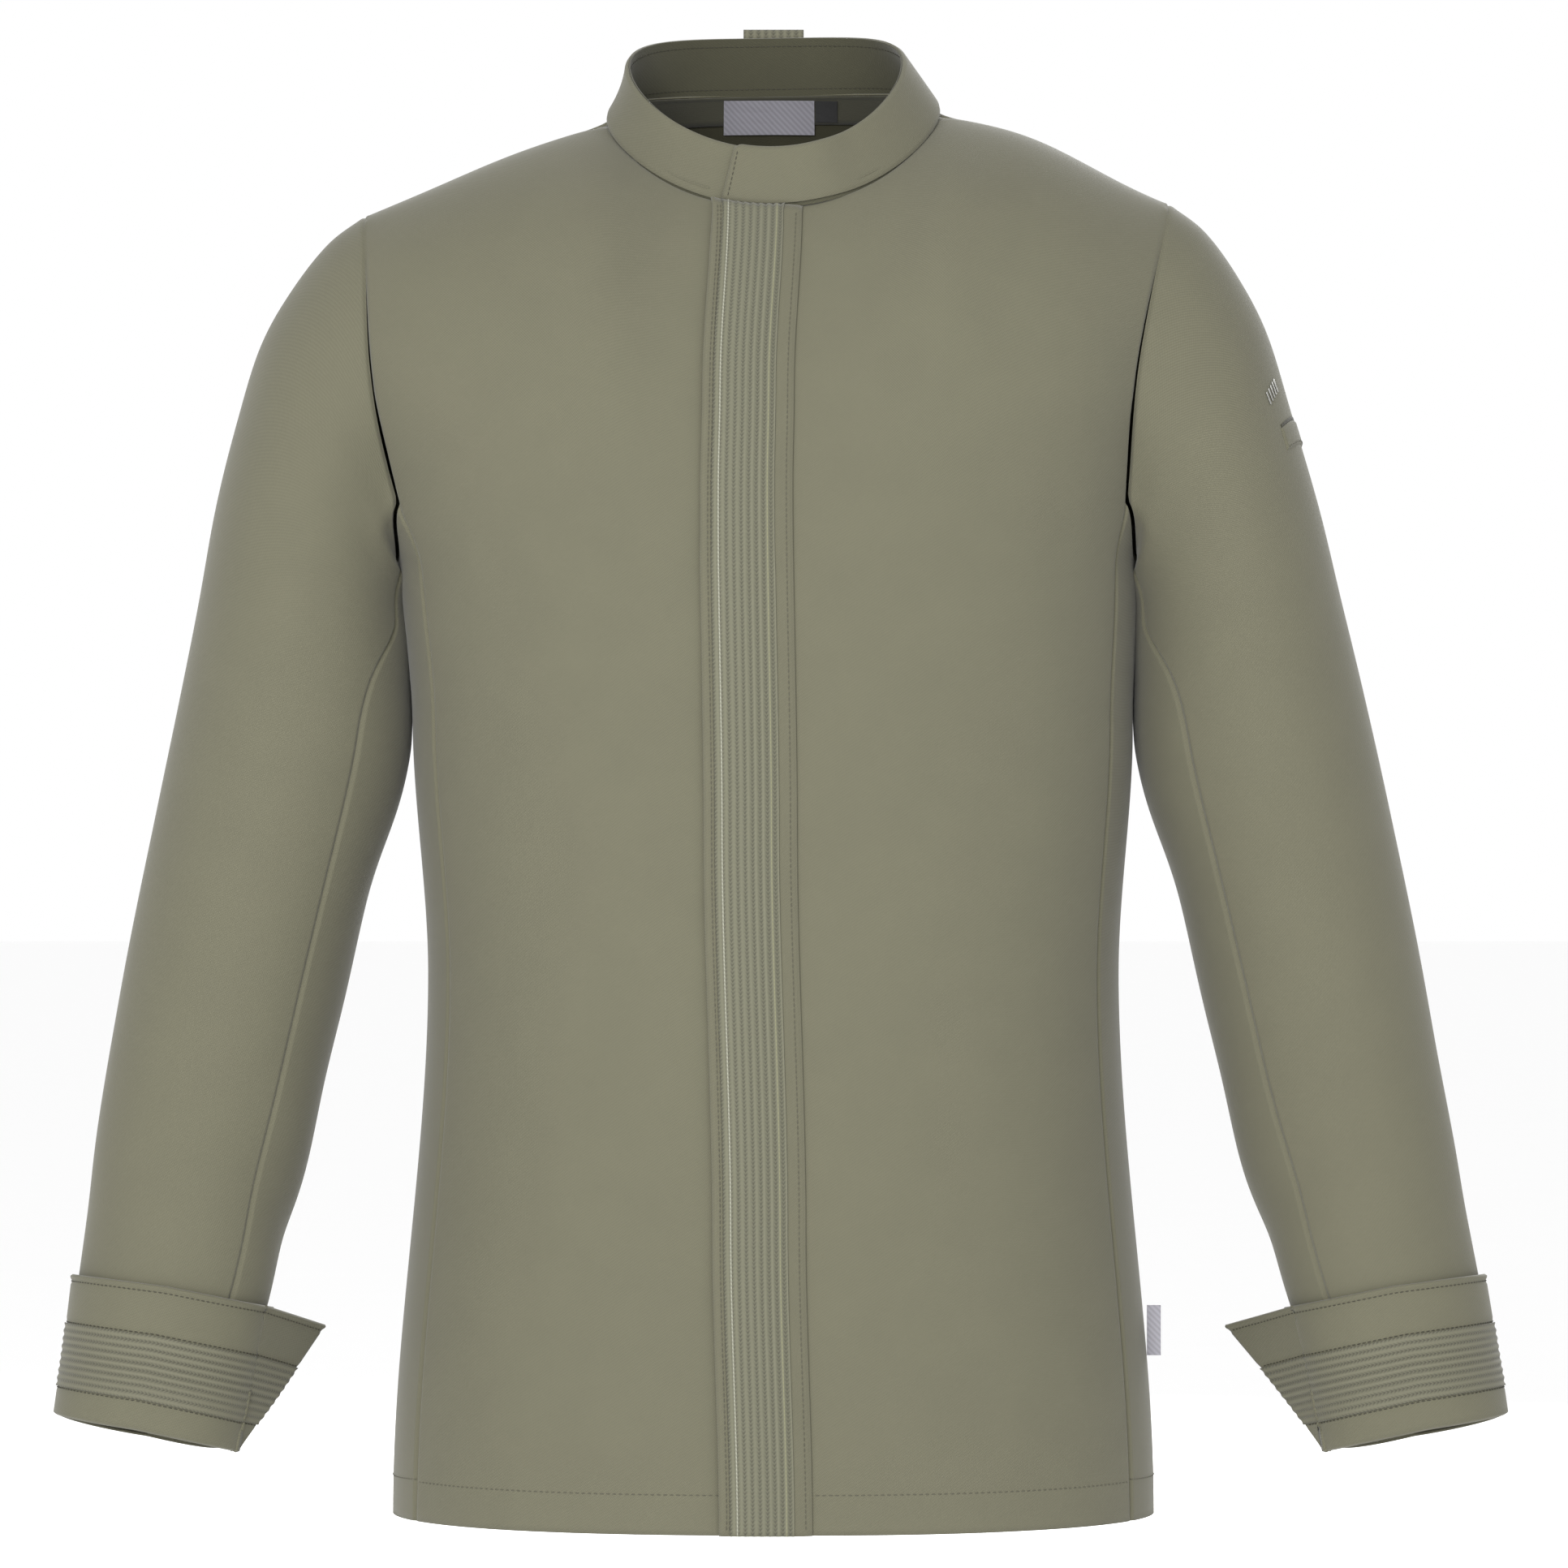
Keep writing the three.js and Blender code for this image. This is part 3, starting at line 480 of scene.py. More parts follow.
class Piece:
    """Makes the visible pieces, in the frame and in metres."""

    batch = 50  # stitches that are made together
    narrowest = 0.0105  # a strip narrower than this is trim, and not a sheet of its own

    def __init__(self, height: float) -> None:
        """Keeps the height of the frame's origin above the hem, in millimetres."""
        self.height = height

    def placed(self, points: Array) -> Array:
        """Points above the hem in millimetres as points of the frame in metres."""
        return (np.asarray(points) - [0, 0, self.height]) * MM

    def cloth(self, name: str, grid: ClothGrid, thickness: float, finish: "Finish", slot: str,
              inside: "Finish | None" = None, held: str = "hung") -> bpy.types.Object:
        """A cloth piece on a grid.

        Args:
            name: the piece's name.
            grid: its outer face.
            thickness: how thick it is, in millimetres.
            finish: its material.
            slot: a material slot's name; not used.
            inside: the material of its inner face, where that differs; its darker twill there is painted
                shade.
            held: how the sheet is held; not used.

        Returns:
            The piece.
        """
        columns, rows = len(grid.columns), len(grid.rows)
        bm = bmesh.new()
        bmesh.ops.create_grid(bm, x_segments=columns - 1, y_segments=rows - 1, size=1)
        mesh = bpy.data.meshes.new(name)
        bm.to_mesh(mesh)
        bm.free()
        count = len(mesh.vertices)
        if count != columns * rows:
            raise ValueError(f"{name}: the grid has {count} points instead of {columns * rows}")
        at = np.empty(count * 3)
        mesh.vertices.foreach_get("co", at)
        at = at.reshape(-1, 3)
        i = np.rint((at[:, 0] + 1) / 2 * (columns - 1)).astype(int)
        j = np.rint((at[:, 1] + 1) / 2 * (rows - 1)).astype(int)
        mesh.vertices.foreach_set("co", self.placed(grid.points[i, j]).ravel())
        run = np.stack([np.broadcast_to(grid.across().mean(1)[:, None], (columns, rows)),
                        np.broadcast_to(grid.along().mean(0)[None, :], (columns, rows))], -1) * MM
        corner = np.empty(len(mesh.loops), np.int32)
        mesh.loops.foreach_get("vertex_index", corner)
        layer = mesh.uv_layers.new(name="Cloth")
        layer.data.foreach_set("uv", run[i[corner], j[corner]].ravel())
        piece = self.finished(name, mesh, finish, slot)
        wall = piece.modifiers.new("Thickness", "SOLIDIFY")
        wall.thickness, wall.offset = thickness * MM, -1
        if inside:
            mesh.materials.append(inside.material())
            wall.material_offset = 1
        return piece

    def ride(self, piece: bpy.types.Object, body: str, *nodes: str) -> None:
        """Lets a piece ride on a body, for its CAD nodes."""
        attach(piece, body)
        self.stand_in(piece, nodes)

    def bend(self, piece: bpy.types.Object, bodies: tuple[str, str], ends: Array, *nodes: str) -> None:
        """Bakes a piece's placement into its mesh and hides its CAD nodes.

        Args:
            piece: the piece.
            bodies: the body that holds it and the body it follows past the bend; not used.
            ends: the points where the bend starts and ends, in millimetres above the hem; not used.
            nodes: its CAD nodes.
        """
        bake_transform(piece)
        self.stand_in(piece, nodes)

    def stand_in(self, piece: bpy.types.Object, nodes: Sequence[str]) -> None:
        """Notes the CAD nodes that a piece replaces, and reports it."""
        if nodes:
            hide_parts(*nodes)
        log.info("made %s", piece.name)

    def finished(self, name: str, mesh: bpy.types.Mesh, finish: "Finish",
                 slot: str) -> bpy.types.Object:
        """A mesh as a smooth-shaded object with its finish."""
        mesh.shade_smooth()
        piece = bpy.data.objects.new(name, mesh)
        bpy.context.scene.collection.objects.link(piece)
        mesh.materials.append(finish.material())
        return piece

    def stitches(self, name: str, lines: Sequence[tuple[Array, Array]], finish: "Finish",
                 pitch: float = 2.9, length: float = 2.2, width: float = 0.62) -> bpy.types.Object:
        """Rows of topstitching: one small oval of thread after another along each line.

        Args:
            name: the piece's name.
            lines: the points and outward directions of each row, in millimetres.
            finish: the thread's material.
            pitch: from one stitch to the next.
            length: how long a stitch shows.
            width: how wide the thread is.

        Returns:
            The piece.
        """
        places = [m for line in lines for m in self.stitch_places(*line, pitch)]
        size = Matrix.Diagonal((length / 2 * MM, width / 2 * MM, width / 2.6 * MM, 1))
        whole = bmesh.new()
        for first in range(0, len(places), self.batch):
            bm = bmesh.new()
            for place in places[first:first + self.batch]:
                bmesh.ops.create_uvsphere(bm, u_segments=6, v_segments=4, radius=1, matrix=place @ size)
            some = bpy.data.meshes.new(name)
            bm.to_mesh(some)
            bm.free()
            whole.from_mesh(some)
            bpy.data.meshes.remove(some)
        mesh = bpy.data.meshes.new(name)
        whole.to_mesh(mesh)
        whole.free()
        return self.finished(name, mesh, finish, "twill")

    def stitch_places(self, points: Array, normals: Array, pitch: float) -> list[Matrix]:
        """Where each stitch of a row lies and how it is turned.

        Args:
            points: the row's line, in millimetres.
            normals: the outward directions along it.
            pitch: from one stitch to the next.

        Returns:
            A matrix for each stitch, in the frame.
        """
        run = np.concatenate([[0], np.cumsum(np.linalg.norm(np.diff(points, axis=0), axis=1))])
        middles = np.arange(pitch / 2, run[-1] - pitch / 4, pitch)

        def read(s: Array, values: Array) -> Array:
            return np.stack([np.interp(s, run, values[:, k]) for k in range(3)], -1)
        ahead = read(middles + 0.5, points) - read(middles - 0.5, points)
        beside = np.cross(read(middles, normals), ahead)
        ahead /= np.linalg.norm(ahead, axis=1, keepdims=True)
        beside /= np.linalg.norm(beside, axis=1, keepdims=True)
        turns = np.stack([ahead, beside, np.cross(ahead, beside)], -1)
        return [Matrix.Translation(at) @ Matrix(turn.tolist()).to_4x4()
                for at, turn in zip(self.placed(read(middles, points)).tolist(), turns)]


class Maths:
    """A node socket in an expression; each operator adds the Math node for it."""

    def __init__(self, shader: "Shader", socket: bpy.types.NodeSocket) -> None:
        """Wraps a socket of a shader's node tree."""
        self.shader, self.socket = shader, socket

    def _do(self, operation: str, *values: "Maths | float") -> "Maths":
        """One Math node."""
        node = self.shader.node("ShaderNodeMath", {"operation": operation}, dict(enumerate(values)))
        return Maths(self.shader, node.outputs[0])

    def __add__(self, other: "Maths | float") -> "Maths":
        """The sum."""
        return self._do("ADD", self, other)

    __radd__ = __add__

    def __mul__(self, other: "Maths | float") -> "Maths":
        """The product."""
        return self._do("MULTIPLY", self, other)

    __rmul__ = __mul__

    def __sub__(self, other: "Maths | float") -> "Maths":
        """The difference."""
        return self._do("SUBTRACT", self, other)

    def __rsub__(self, other: "Maths | float") -> "Maths":
        """The difference the other way round."""
        return self._do("SUBTRACT", other, self)

    def wave(self) -> "Maths":
        """A wave from 0 to 1, once for every whole number."""
        return self._do("SINE", self * math.tau) * 0.5 + 0.5

    def part(self) -> "Maths":
        """What is left over whole numbers."""
        return self._do("FRACT", self)

    def over(self, edge: float) -> "Maths":
        """1 where the value is above edge, and 0 elsewhere."""
        return self._do("GREATER_THAN", self, edge)

    def within(self, low: float, high: float) -> "Maths":
        """1 between two values, and 0 elsewhere."""
        return self.over(low) * (1 - self.over(high))


class Shader:
    """Builds one material's nodes."""

    def __init__(self, name: str) -> None:
        """Starts a material with a plain Principled shader."""
        self.material = bpy.data.materials.new(name)
        self.material.use_nodes = True
        self.tree = self.material.node_tree
        self.skin = self.tree.nodes["Principled BSDF"]

    def node(self, kind: str, settings: dict | None = None,
             inputs: dict | None = None) -> bpy.types.Node:
        """Adds a node.

        Args:
            kind: the node's type.
            settings: its own settings, set first.
            inputs: values or links of its sockets, by name or number.

        Returns:
            The node.
        """
        node = self.tree.nodes.new(kind)
        for key, value in (settings or {}).items():
            setattr(node, key, value)
        for key, value in (inputs or {}).items():
            self.put(node.inputs[key], value)
        return node

    def put(self, socket: bpy.types.NodeSocket, value: object) -> None:
        """Links a socket or sets its value."""
        if isinstance(value, Maths):
            value = value.socket
        if isinstance(value, bpy.types.NodeSocket):
            self.tree.links.new(value, socket)
        else:
            socket.default_value = value

    def run(self) -> tuple[Maths, Maths]:
        """Metres across and along the cloth, from its own map."""
        split = self.node("ShaderNodeSeparateXYZ", None,
                          {0: self.node("ShaderNodeUVMap", {"uv_map": "Cloth"}).outputs[0]})
        return Maths(self, split.outputs[0]), Maths(self, split.outputs[1])

    def place(self) -> tuple[bpy.types.NodeSocket, Maths, Maths, Maths]:
        """The object's own coordinates, as a vector and as x, y and z."""
        vector = self.node("ShaderNodeTexCoord").outputs["Object"]
        split = self.node("ShaderNodeSeparateXYZ", None, {0: vector})
        return (vector, *(Maths(self, out) for out in split.outputs))

    def noise(self, vector: bpy.types.NodeSocket, scale: float, detail: float = 2) -> Maths:
        """Noise from 0 to 1."""
        inputs = {"Vector": vector, "Scale": scale, "Detail": detail}
        node = self.node("ShaderNodeTexNoise", None, inputs)
        return Maths(self, node.outputs["Fac"])

    def blend(self, share: Maths, low: object, high: object) -> bpy.types.NodeSocket:
        """A colour between two."""
        node = self.node("ShaderNodeMix", {"data_type": "RGBA"}, {0: share, 6: low, 7: high})
        return node.outputs[2]

    def bump(self, height: Maths, distance: float, strength: float = 1) -> None:
        """Raises the surface by a height from 0 to 1, times distance in metres."""
        node = self.node("ShaderNodeBump", None,
                         {"Height": height, "Distance": distance, "Strength": strength})
        self.put(self.skin.inputs["Normal"], node.outputs[0])

    def dress(self, **sockets: object) -> bpy.types.Material:
        """Sets the shader's sockets, with _ for a blank, and gives the material."""
        for key, value in sockets.items():
            self.put(self.skin.inputs[key.replace("_", " ")], value)
        return self.material


def tint(color: tuple[float, float, float], by: float = 1) -> tuple[float, float, float, float]:
    """A colour made darker or lighter, with its alpha."""
    return (*(min(c * by, 1) for c in color), 1)


_made: dict[object, bpy.types.Material] = {}


@dataclass(frozen=True)
class Finish:
    """What every finish has: a name, a colour and one shared material."""

    name: str
    color: tuple[float, float, float]

    def material(self) -> bpy.types.Material:
        """The finish's material, made once."""
        if self not in _made:
            _made[self] = self.build(Shader(self.name))
        return _made[self]

    def build(self, shader: Shader) -> bpy.types.Material:
        """Makes the material."""
        raise NotImplementedError


@dataclass(frozen=True)
class Twill(Finish):
    """Fine cotton twill: diagonal wales, a slubby yarn and faint mottling."""

    pitch: float = 0.0011
    contrast: float = 0.22

    def build(self, shader: Shader) -> bpy.types.Material:
        """Makes the material."""
        u, v = shader.run()
        vector, *_ = shader.place()
        slub = shader.noise(vector, 900, 3)
        wale = ((u + v * 0.8) * (1 / self.pitch) + slub * 0.5).wave()
        cross = ((u * 0.6 - v) * (0.7 / self.pitch) + slub * 0.6).wave()
        weave = wale * 0.65 + cross * 0.35
        mottle = shader.noise(vector, 34, 4) * 0.6 + slub * 0.4
        share = weave * 0.55 + mottle * 0.45
        low, high = tint(self.color, 1 - self.contrast), tint(self.color, 1 + self.contrast)
        color = shader.blend(share, low, high)
        shader.bump(weave * 0.7 + slub * 0.3, 0.00022, 0.55)
        return shader.dress(Base_Color=color, Roughness=0.86 + mottle * 0.1, Sheen_Weight=0.12,
                            Sheen_Roughness=0.45, Specular_IOR_Level=0.25)


class TapeMap(Enum):
    """How a tape's pattern finds its way: by its cloth map or by the object's x."""

    CLOTH = 0
    OBJECT = 1


@dataclass(frozen=True)
class RibbedTape(Finish):
    """Knitted tape: columns of chain stitches between smooth ribs, with two bright threads."""

    width: float = 0.033
    ribs: int = 8
    chain: float = 0.0021
    across_rows: bool = False
    threads: bool = True
    read: TapeMap = TapeMap.CLOTH

    def build(self, shader: Shader) -> bpy.types.Material:
        """Makes the material."""
        vector, x, _, z = shader.place()
        if self.read is TapeMap.OBJECT:
            across, along = x + self.width / 2, z
        else:
            across, along = shader.run()[::-1] if self.across_rows else shader.run()
        share = across * (1 / self.width)
        fuzz = shader.noise(vector, 1400, 2)
        rib = (share * self.ribs - 0.25).wave()
        half = (share * self.ribs + fuzz * 0.05).part() - 0.5
        link = (along * (1 / self.chain) + half * half * 3).wave()
        dark = 1 - rib
        height = rib * 0.75 + link * dark * 0.45 + fuzz * 0.15
        body = shader.blend(dark * (0.35 + link * 0.65), tint(self.color, 1.12), tint(self.color, 0.5))
        if self.threads:
            pale, warm = share.within(0.105, 0.128), share.within(0.93, 0.945)
            body = shader.blend(pale * (0.45 + link * 0.55), body, (0.25, 0.25, 0.2, 1))
            body = shader.blend(warm * (0.2 + link * 0.4), body, (0.19, 0.19, 0.1, 1))
        shader.bump(height, 0.0006, 0.75)
        return shader.dress(Base_Color=body, Roughness=0.72 + fuzz * 0.15, Sheen_Weight=0.1,
                            Specular_IOR_Level=0.3)


@dataclass(frozen=True)
class StripedLabel(Finish):
    """Satin woven label with fine diagonal stripes."""

    pitch: float = 0.0032

    def build(self, shader: Shader) -> bpy.types.Material:
        """Makes the material."""
        vector, x, _, z = shader.place()
        fuzz = shader.noise(vector, 1500, 2)
        stripe = ((x + z) * (1 / self.pitch)).wave()
        yarn = ((z - x) * 2200).wave()
        color = shader.blend(stripe * 0.8 + yarn * 0.2, tint(self.color, 0.78), tint(self.color, 1.1))
        shader.bump(stripe * 0.5 + yarn * 0.3 + fuzz * 0.2, 0.00012, 0.6)
        return shader.dress(Base_Color=color, Roughness=0.5 + fuzz * 0.15, Sheen_Weight=0.2)


@dataclass(frozen=True)
class WovenTab(Finish):
    """Small black woven tab with a cut edge."""

    def build(self, shader: Shader) -> bpy.types.Material:
        """Makes the material."""
        vector, x, _, z = shader.place()
        fuzz = shader.noise(vector, 1200, 2)
        weave = (x * 2400).wave() * 0.5 + (z * 2400).wave() * 0.5
        color = shader.blend(weave * 0.6 + fuzz * 0.4, tint(self.color, 0.7), tint(self.color, 1.6))
        shader.bump(weave, 0.0001, 0.6)
        return shader.dress(Base_Color=color, Roughness=0.7 + fuzz * 0.2)


@dataclass(frozen=True)
class Thread(Finish):
    """Sewing thread, twisted."""

    def build(self, shader: Shader) -> bpy.types.Material:
        """Makes the material."""
        vector, x, y, z = shader.place()
        twist = ((x + y + z) * 2600).wave()
        fuzz = shader.noise(vector, 2000, 2)
        color = shader.blend(twist * 0.6 + fuzz * 0.4, tint(self.color, 0.75), tint(self.color, 1.2))
        return shader.dress(Base_Color=color, Roughness=0.6 + fuzz * 0.2, Specular_IOR_Level=0.4)


@dataclass(frozen=True)
class SnapMetal(Finish):
    """Lacquered metal of the press studs, a little rubbed."""

    def build(self, shader: Shader) -> bpy.types.Material:
        """Makes the material."""
        vector, *_ = shader.place()
        rub = shader.noise(vector, 700, 4)
        color = shader.blend(rub, tint(self.color, 0.7), tint(self.color, 1.15))
        shader.bump(rub, 0.00005, 0.4)
        return shader.dress(Base_Color=color, Metallic=0.95, Roughness=0.28 + rub * 0.2)


@dataclass(frozen=True)
class PlainCotton(Finish):
    """Plain woven cotton for parts without a cloth map."""

    def build(self, shader: Shader) -> bpy.types.Material:
        """Makes the material."""
        vector, x, y, z = shader.place()
        fuzz = shader.noise(vector, 1100, 3)
        weave = ((x + y) * 1400).wave() * 0.5 + (z * 1400).wave() * 0.5
        color = shader.blend(weave * 0.5 + fuzz * 0.5, tint(self.color, 0.8), tint(self.color, 1.2))
        shader.bump(weave, 0.00012, 0.6)
        return shader.dress(Base_Color=color, Roughness=0.85 + fuzz * 0.1, Sheen_Weight=0.1)


@dataclass(frozen=True)
class Floor(Finish):
    """Pale matt floor."""

    def build(self, shader: Shader) -> bpy.types.Material:
        """Makes the material."""
        vector, *_ = shader.place()
        grain = shader.noise(vector, 8, 3)
        color = shader.blend(grain, tint(self.color, 0.99), tint(self.color, 1.0))
        return shader.dress(Base_Color=color, Roughness=0.9 + grain * 0.05, Specular_IOR_Level=0.1)


CLOTH_COLOR = (0.0935, 0.0900, 0.0610)
TWILL = Twill("sage_twill", CLOTH_COLOR)
COLLAR_TWILL = Twill("sage_twill_collar", tuple(c * 0.98 for c in CLOTH_COLOR))
# the same twill made much darker for inner faces and the pocket's inside: painted shade
INSIDE_PAINTED_SHADE = Twill("inside_twill", (0.026, 0.0245, 0.0135), contrast=0.16)
# the collar's inside: the twill made darker as painted shade, with strong mottling that paints the shade
# of its folds
COLLAR_INSIDE_PAINTED_SHADE = Twill("collar_inside_painted_shade", (0.048, 0.0465, 0.029), contrast=0.3)
TAPE = RibbedTape("ribbed_tape", (0.100, 0.0985, 0.0675))
CUFF_TAPE = RibbedTape("ribbed_cuff_tape", (0.095, 0.092, 0.0635), across_rows=True, threads=False)
LOOP_TAPE = RibbedTape("ribbed_loop_tape", (0.096, 0.093, 0.064), read=TapeMap.OBJECT, threads=False)
PALE_LABEL = StripedLabel("pale_label", (0.205, 0.200, 0.225))
BLACK_TAB = WovenTab("black_tab", (0.012, 0.012, 0.012))
BADGE_METAL = SnapMetal("badge_silver", (0.34, 0.34, 0.32))
THREAD = Thread("sage_thread", (0.060, 0.057, 0.039))
DARK_THREAD = Thread("shade_thread", (0.030, 0.028, 0.018))
NECK_TAPE = PlainCotton("neck_tape_cotton", (0.030, 0.029, 0.017))
PALE_FLOOR = Floor("pale_floor", (0.97, 0.97, 0.97))
STUD_METAL = SnapMetal("stud_metal", (0.25, 0.235, 0.18))


@dataclass
class Torso:
    """The fronts, the back and the side panels."""

    form: BodyForm
    make: Piece
    cloth: float = 1.0
    lap: float = 6.5  # column where the left front starts under the band
    underlap: float = 2.5
    hem_stitch: float = 21
    split: float = 0.72  # the row at the top of the side seam
    neck_tape_half: float = 76
    neck_tape_share: float = 0.02  # of the back's rows
    stitch_lines: list[tuple[Array, Array]] = field(default_factory=list)

    def height(self, x: Array, row: Array, face: Face) -> Array:
        """Height of a row: in step with the side seam up to split, then up to the column's end."""
        top = self.form.top(x, face)[1]
        low = row / self.split * self.form.side_top
        high = mix(self.form.side_top, top, (row - self.split) / (1 - self.split))
        return np.where(row < self.split, low, high)

    def panel(self, columns: Array, face: Face) -> ClothGrid:
        """A front or back grid; columns run so that its outside faces outwards."""
        rows = graded(190, 750, False, True)

        def at(x: Array, row: Array) -> Array:
            return self.form.cloth(x, self.height(x, row, face), face)
        return ClothGrid.on(columns, rows, at, self.form).relaxed(40)

    def build(self) -> None:
        """Makes the five panels."""
        half, neck = self.form.shoulder_half, self.form.neck_half
        inner = np.unique(np.concatenate([np.linspace(self.lap, half, 72), [neck]]))
        edge = half - FINE
        left = np.unique(np.concatenate([inner, edge]))
        right = -np.unique(np.concatenate([np.linspace(-self.underlap, half, 72), edge]))[::-1]
        self.front(left, Side.LEFT)
        self.front(right, Side.RIGHT)
        back = np.unique(np.concatenate([np.linspace(-half, half, 141), edge, -edge]))[::-1]
        grid = self.panel(back, Face.BACK).sewn(start=True, end=True, top=True)
        self.hem_line(grid, back)
        self.neck_tape(grid)
        self.cloth_on(grid, "back_cloth", "back_panel")
        for side in Side:
            self.side(side)

    def neck_tape(self, back: ClothGrid) -> None:
        """Makes the tape that covers the back neck seam from inside."""
        columns = np.abs(back.columns) < self.neck_tape_half
        rows = back.rows > 1 - self.neck_tape_share
        tape = ClothGrid(back.points[columns][:, rows], back.columns[columns], back.rows[rows])
        piece = self.make.cloth("neck_tape_cloth", tape.raised(-1.6), 0.6, NECK_TAPE, "lining",
                                held="stretched")
        self.make.ride(piece, "jacket_body", "neck_tape")

    def cloth_on(self, grid: ClothGrid, name: str, node: str) -> None:
        """Makes a panel of twill whose inner face is darker twill: painted shade."""
        piece = self.make.cloth(name, grid, self.cloth, TWILL, "twill", INSIDE_PAINTED_SHADE)
        self.make.ride(piece, "jacket_body", node)

    def front(self, columns: Array, side: Side) -> None:
        """Makes one front."""
        left = side is Side.LEFT
        grid = self.panel(columns, Face.FRONT).sewn(start=not left, end=left, top=True)
        self.hem_line(grid, columns)
        self.cloth_on(grid, f"{side.word}_front_cloth", f"{side.word}_front")

    def side(self, side: Side) -> None:
        """Makes one side panel."""
        def at(q: Array, share: Array) -> Array:
            top = mix(self.form.underarm, self.form.side_top, q**2)
            return self.form.side(q, share * top)
        columns = graded(31, 112) * 2 - 1
        grid = ClothGrid.on(columns, graded(130, 520, False, True), at, self.form, side)
        grid = grid.sewn(start=True, end=True, top=True)
        self.hem_line(grid, columns, self.hem_stitch / 515)
        self.cloth_on(grid, f"{side.word}_side_panel_cloth", f"{side.word}_side_panel")

    def hem_line(self, grid: ClothGrid, columns: Array, row: float | None = None) -> None:
        """Notes the hem's stitch line on a panel."""
        row = self.hem_stitch / self.form.side_top * self.split if row is None else row
        run = np.linspace(columns.min(), columns.max(), 90)
        self.stitch_lines.append(grid.line(run, row))


@dataclass
class Placket:
    """The front band with its ribbed tape, open from the hem up to a little above the waist."""

    form: BodyForm
    make: Piece
    hinge: float = 15.5
    width: float = 48.5
    tape_inset: float = 6
    tape_width: float = 33
    stand_off: float = 3.0
    ramp: float = 9
    band_cloth: float = 1.4
    bend_low: float = 455
    bend_high: float = 530
    tape_rise: float = 0.8

    def rise(self, x: Array) -> Array:
        """How far the band's outer face stands off the front."""
        return mix(0.5, self.stand_off, ease((self.hinge - x) / self.ramp)) + self.band_cloth

    def strip(self, columns: Array, rows: int) -> ClothGrid:
        """A strip of the front, on its form."""
        def at(x: Array, row: Array) -> Array:
            top = self.form.top(x, Face.FRONT)[1] - 2.5
            return self.form.cloth(x, row * top, Face.FRONT)
        return ClothGrid.on(columns, np.linspace(0, 1, rows), at, self.form).relaxed(10)

    def build(self) -> None:
        """Makes the band, its tape and its stitching."""
        free = self.hinge - self.width
        near = np.array([0, 0.5, 1.0, 1.6, 2.4, 3.4])
        even = np.linspace(free, self.hinge, 26)
        columns = np.unique(np.concatenate([free + near, even, self.hinge - near]))
        flat = self.strip(columns, 200)
        x = flat.columns[:, None]
        roll = -0.9 * hump((x - free) / 1.1) - 0.6 * hump((self.hinge - x) / 1.2)
        seam = 0.35 * hump((x - free - 2) / 1.4) + 0.35 * hump((self.hinge - 3 - x) / 1.4)
        ripple = 0.35 * np.sin(flat.rows[None, :] * 46 + x * 0.02) * hump((x - free) / 8)
        grid = flat.raised(self.rise(x) + roll + seam + ripple)
        band = self.make.cloth("placket_band", grid, self.band_cloth, TWILL, "twill")
        rows = np.linspace(0.004, 0.996, 320)
        lines = [grid.line(free + 3.6, rows), grid.line(self.hinge - 3.2, rows),
                 grid.line(free + self.tape_inset - 0.9, rows)]
        low = free + self.tape_inset
        tape_columns = np.linspace(low, low + self.tape_width, 66)
        bed = self.strip(tape_columns, 240)
        share = (bed.columns[:, None] - low) / self.tape_width
        ribs = 0.32 * np.cos(share * 8 * math.tau) + 0.2 * hump((share - 0.5) / 0.42)
        over = bed.raised(self.rise(bed.columns[:, None]) + self.tape_rise + ribs)
        tape = self.make.cloth("placket_tape", over, 0.7, TAPE, "ribbed_tape")
        sewing = self.make.stitches("placket_stitches", lines, THREAD)
        self.hang(band, "placket_band_lower", "placket_band_upper")
        self.hang(tape, "placket_tape_lower", "placket_tape_upper")
        self.hang(sewing)

    def hang(self, piece: bpy.types.Object, *nodes: str) -> None:
        """Bakes a piece of the band into place and hides its CAD nodes."""
        x, y = self.hinge, -self.form.front_depth
        ends = np.array([[x, y, self.bend_high], [x, y, self.bend_low]])
        self.make.bend(piece, ("jacket_body", "placket_flap"), ends, *nodes)


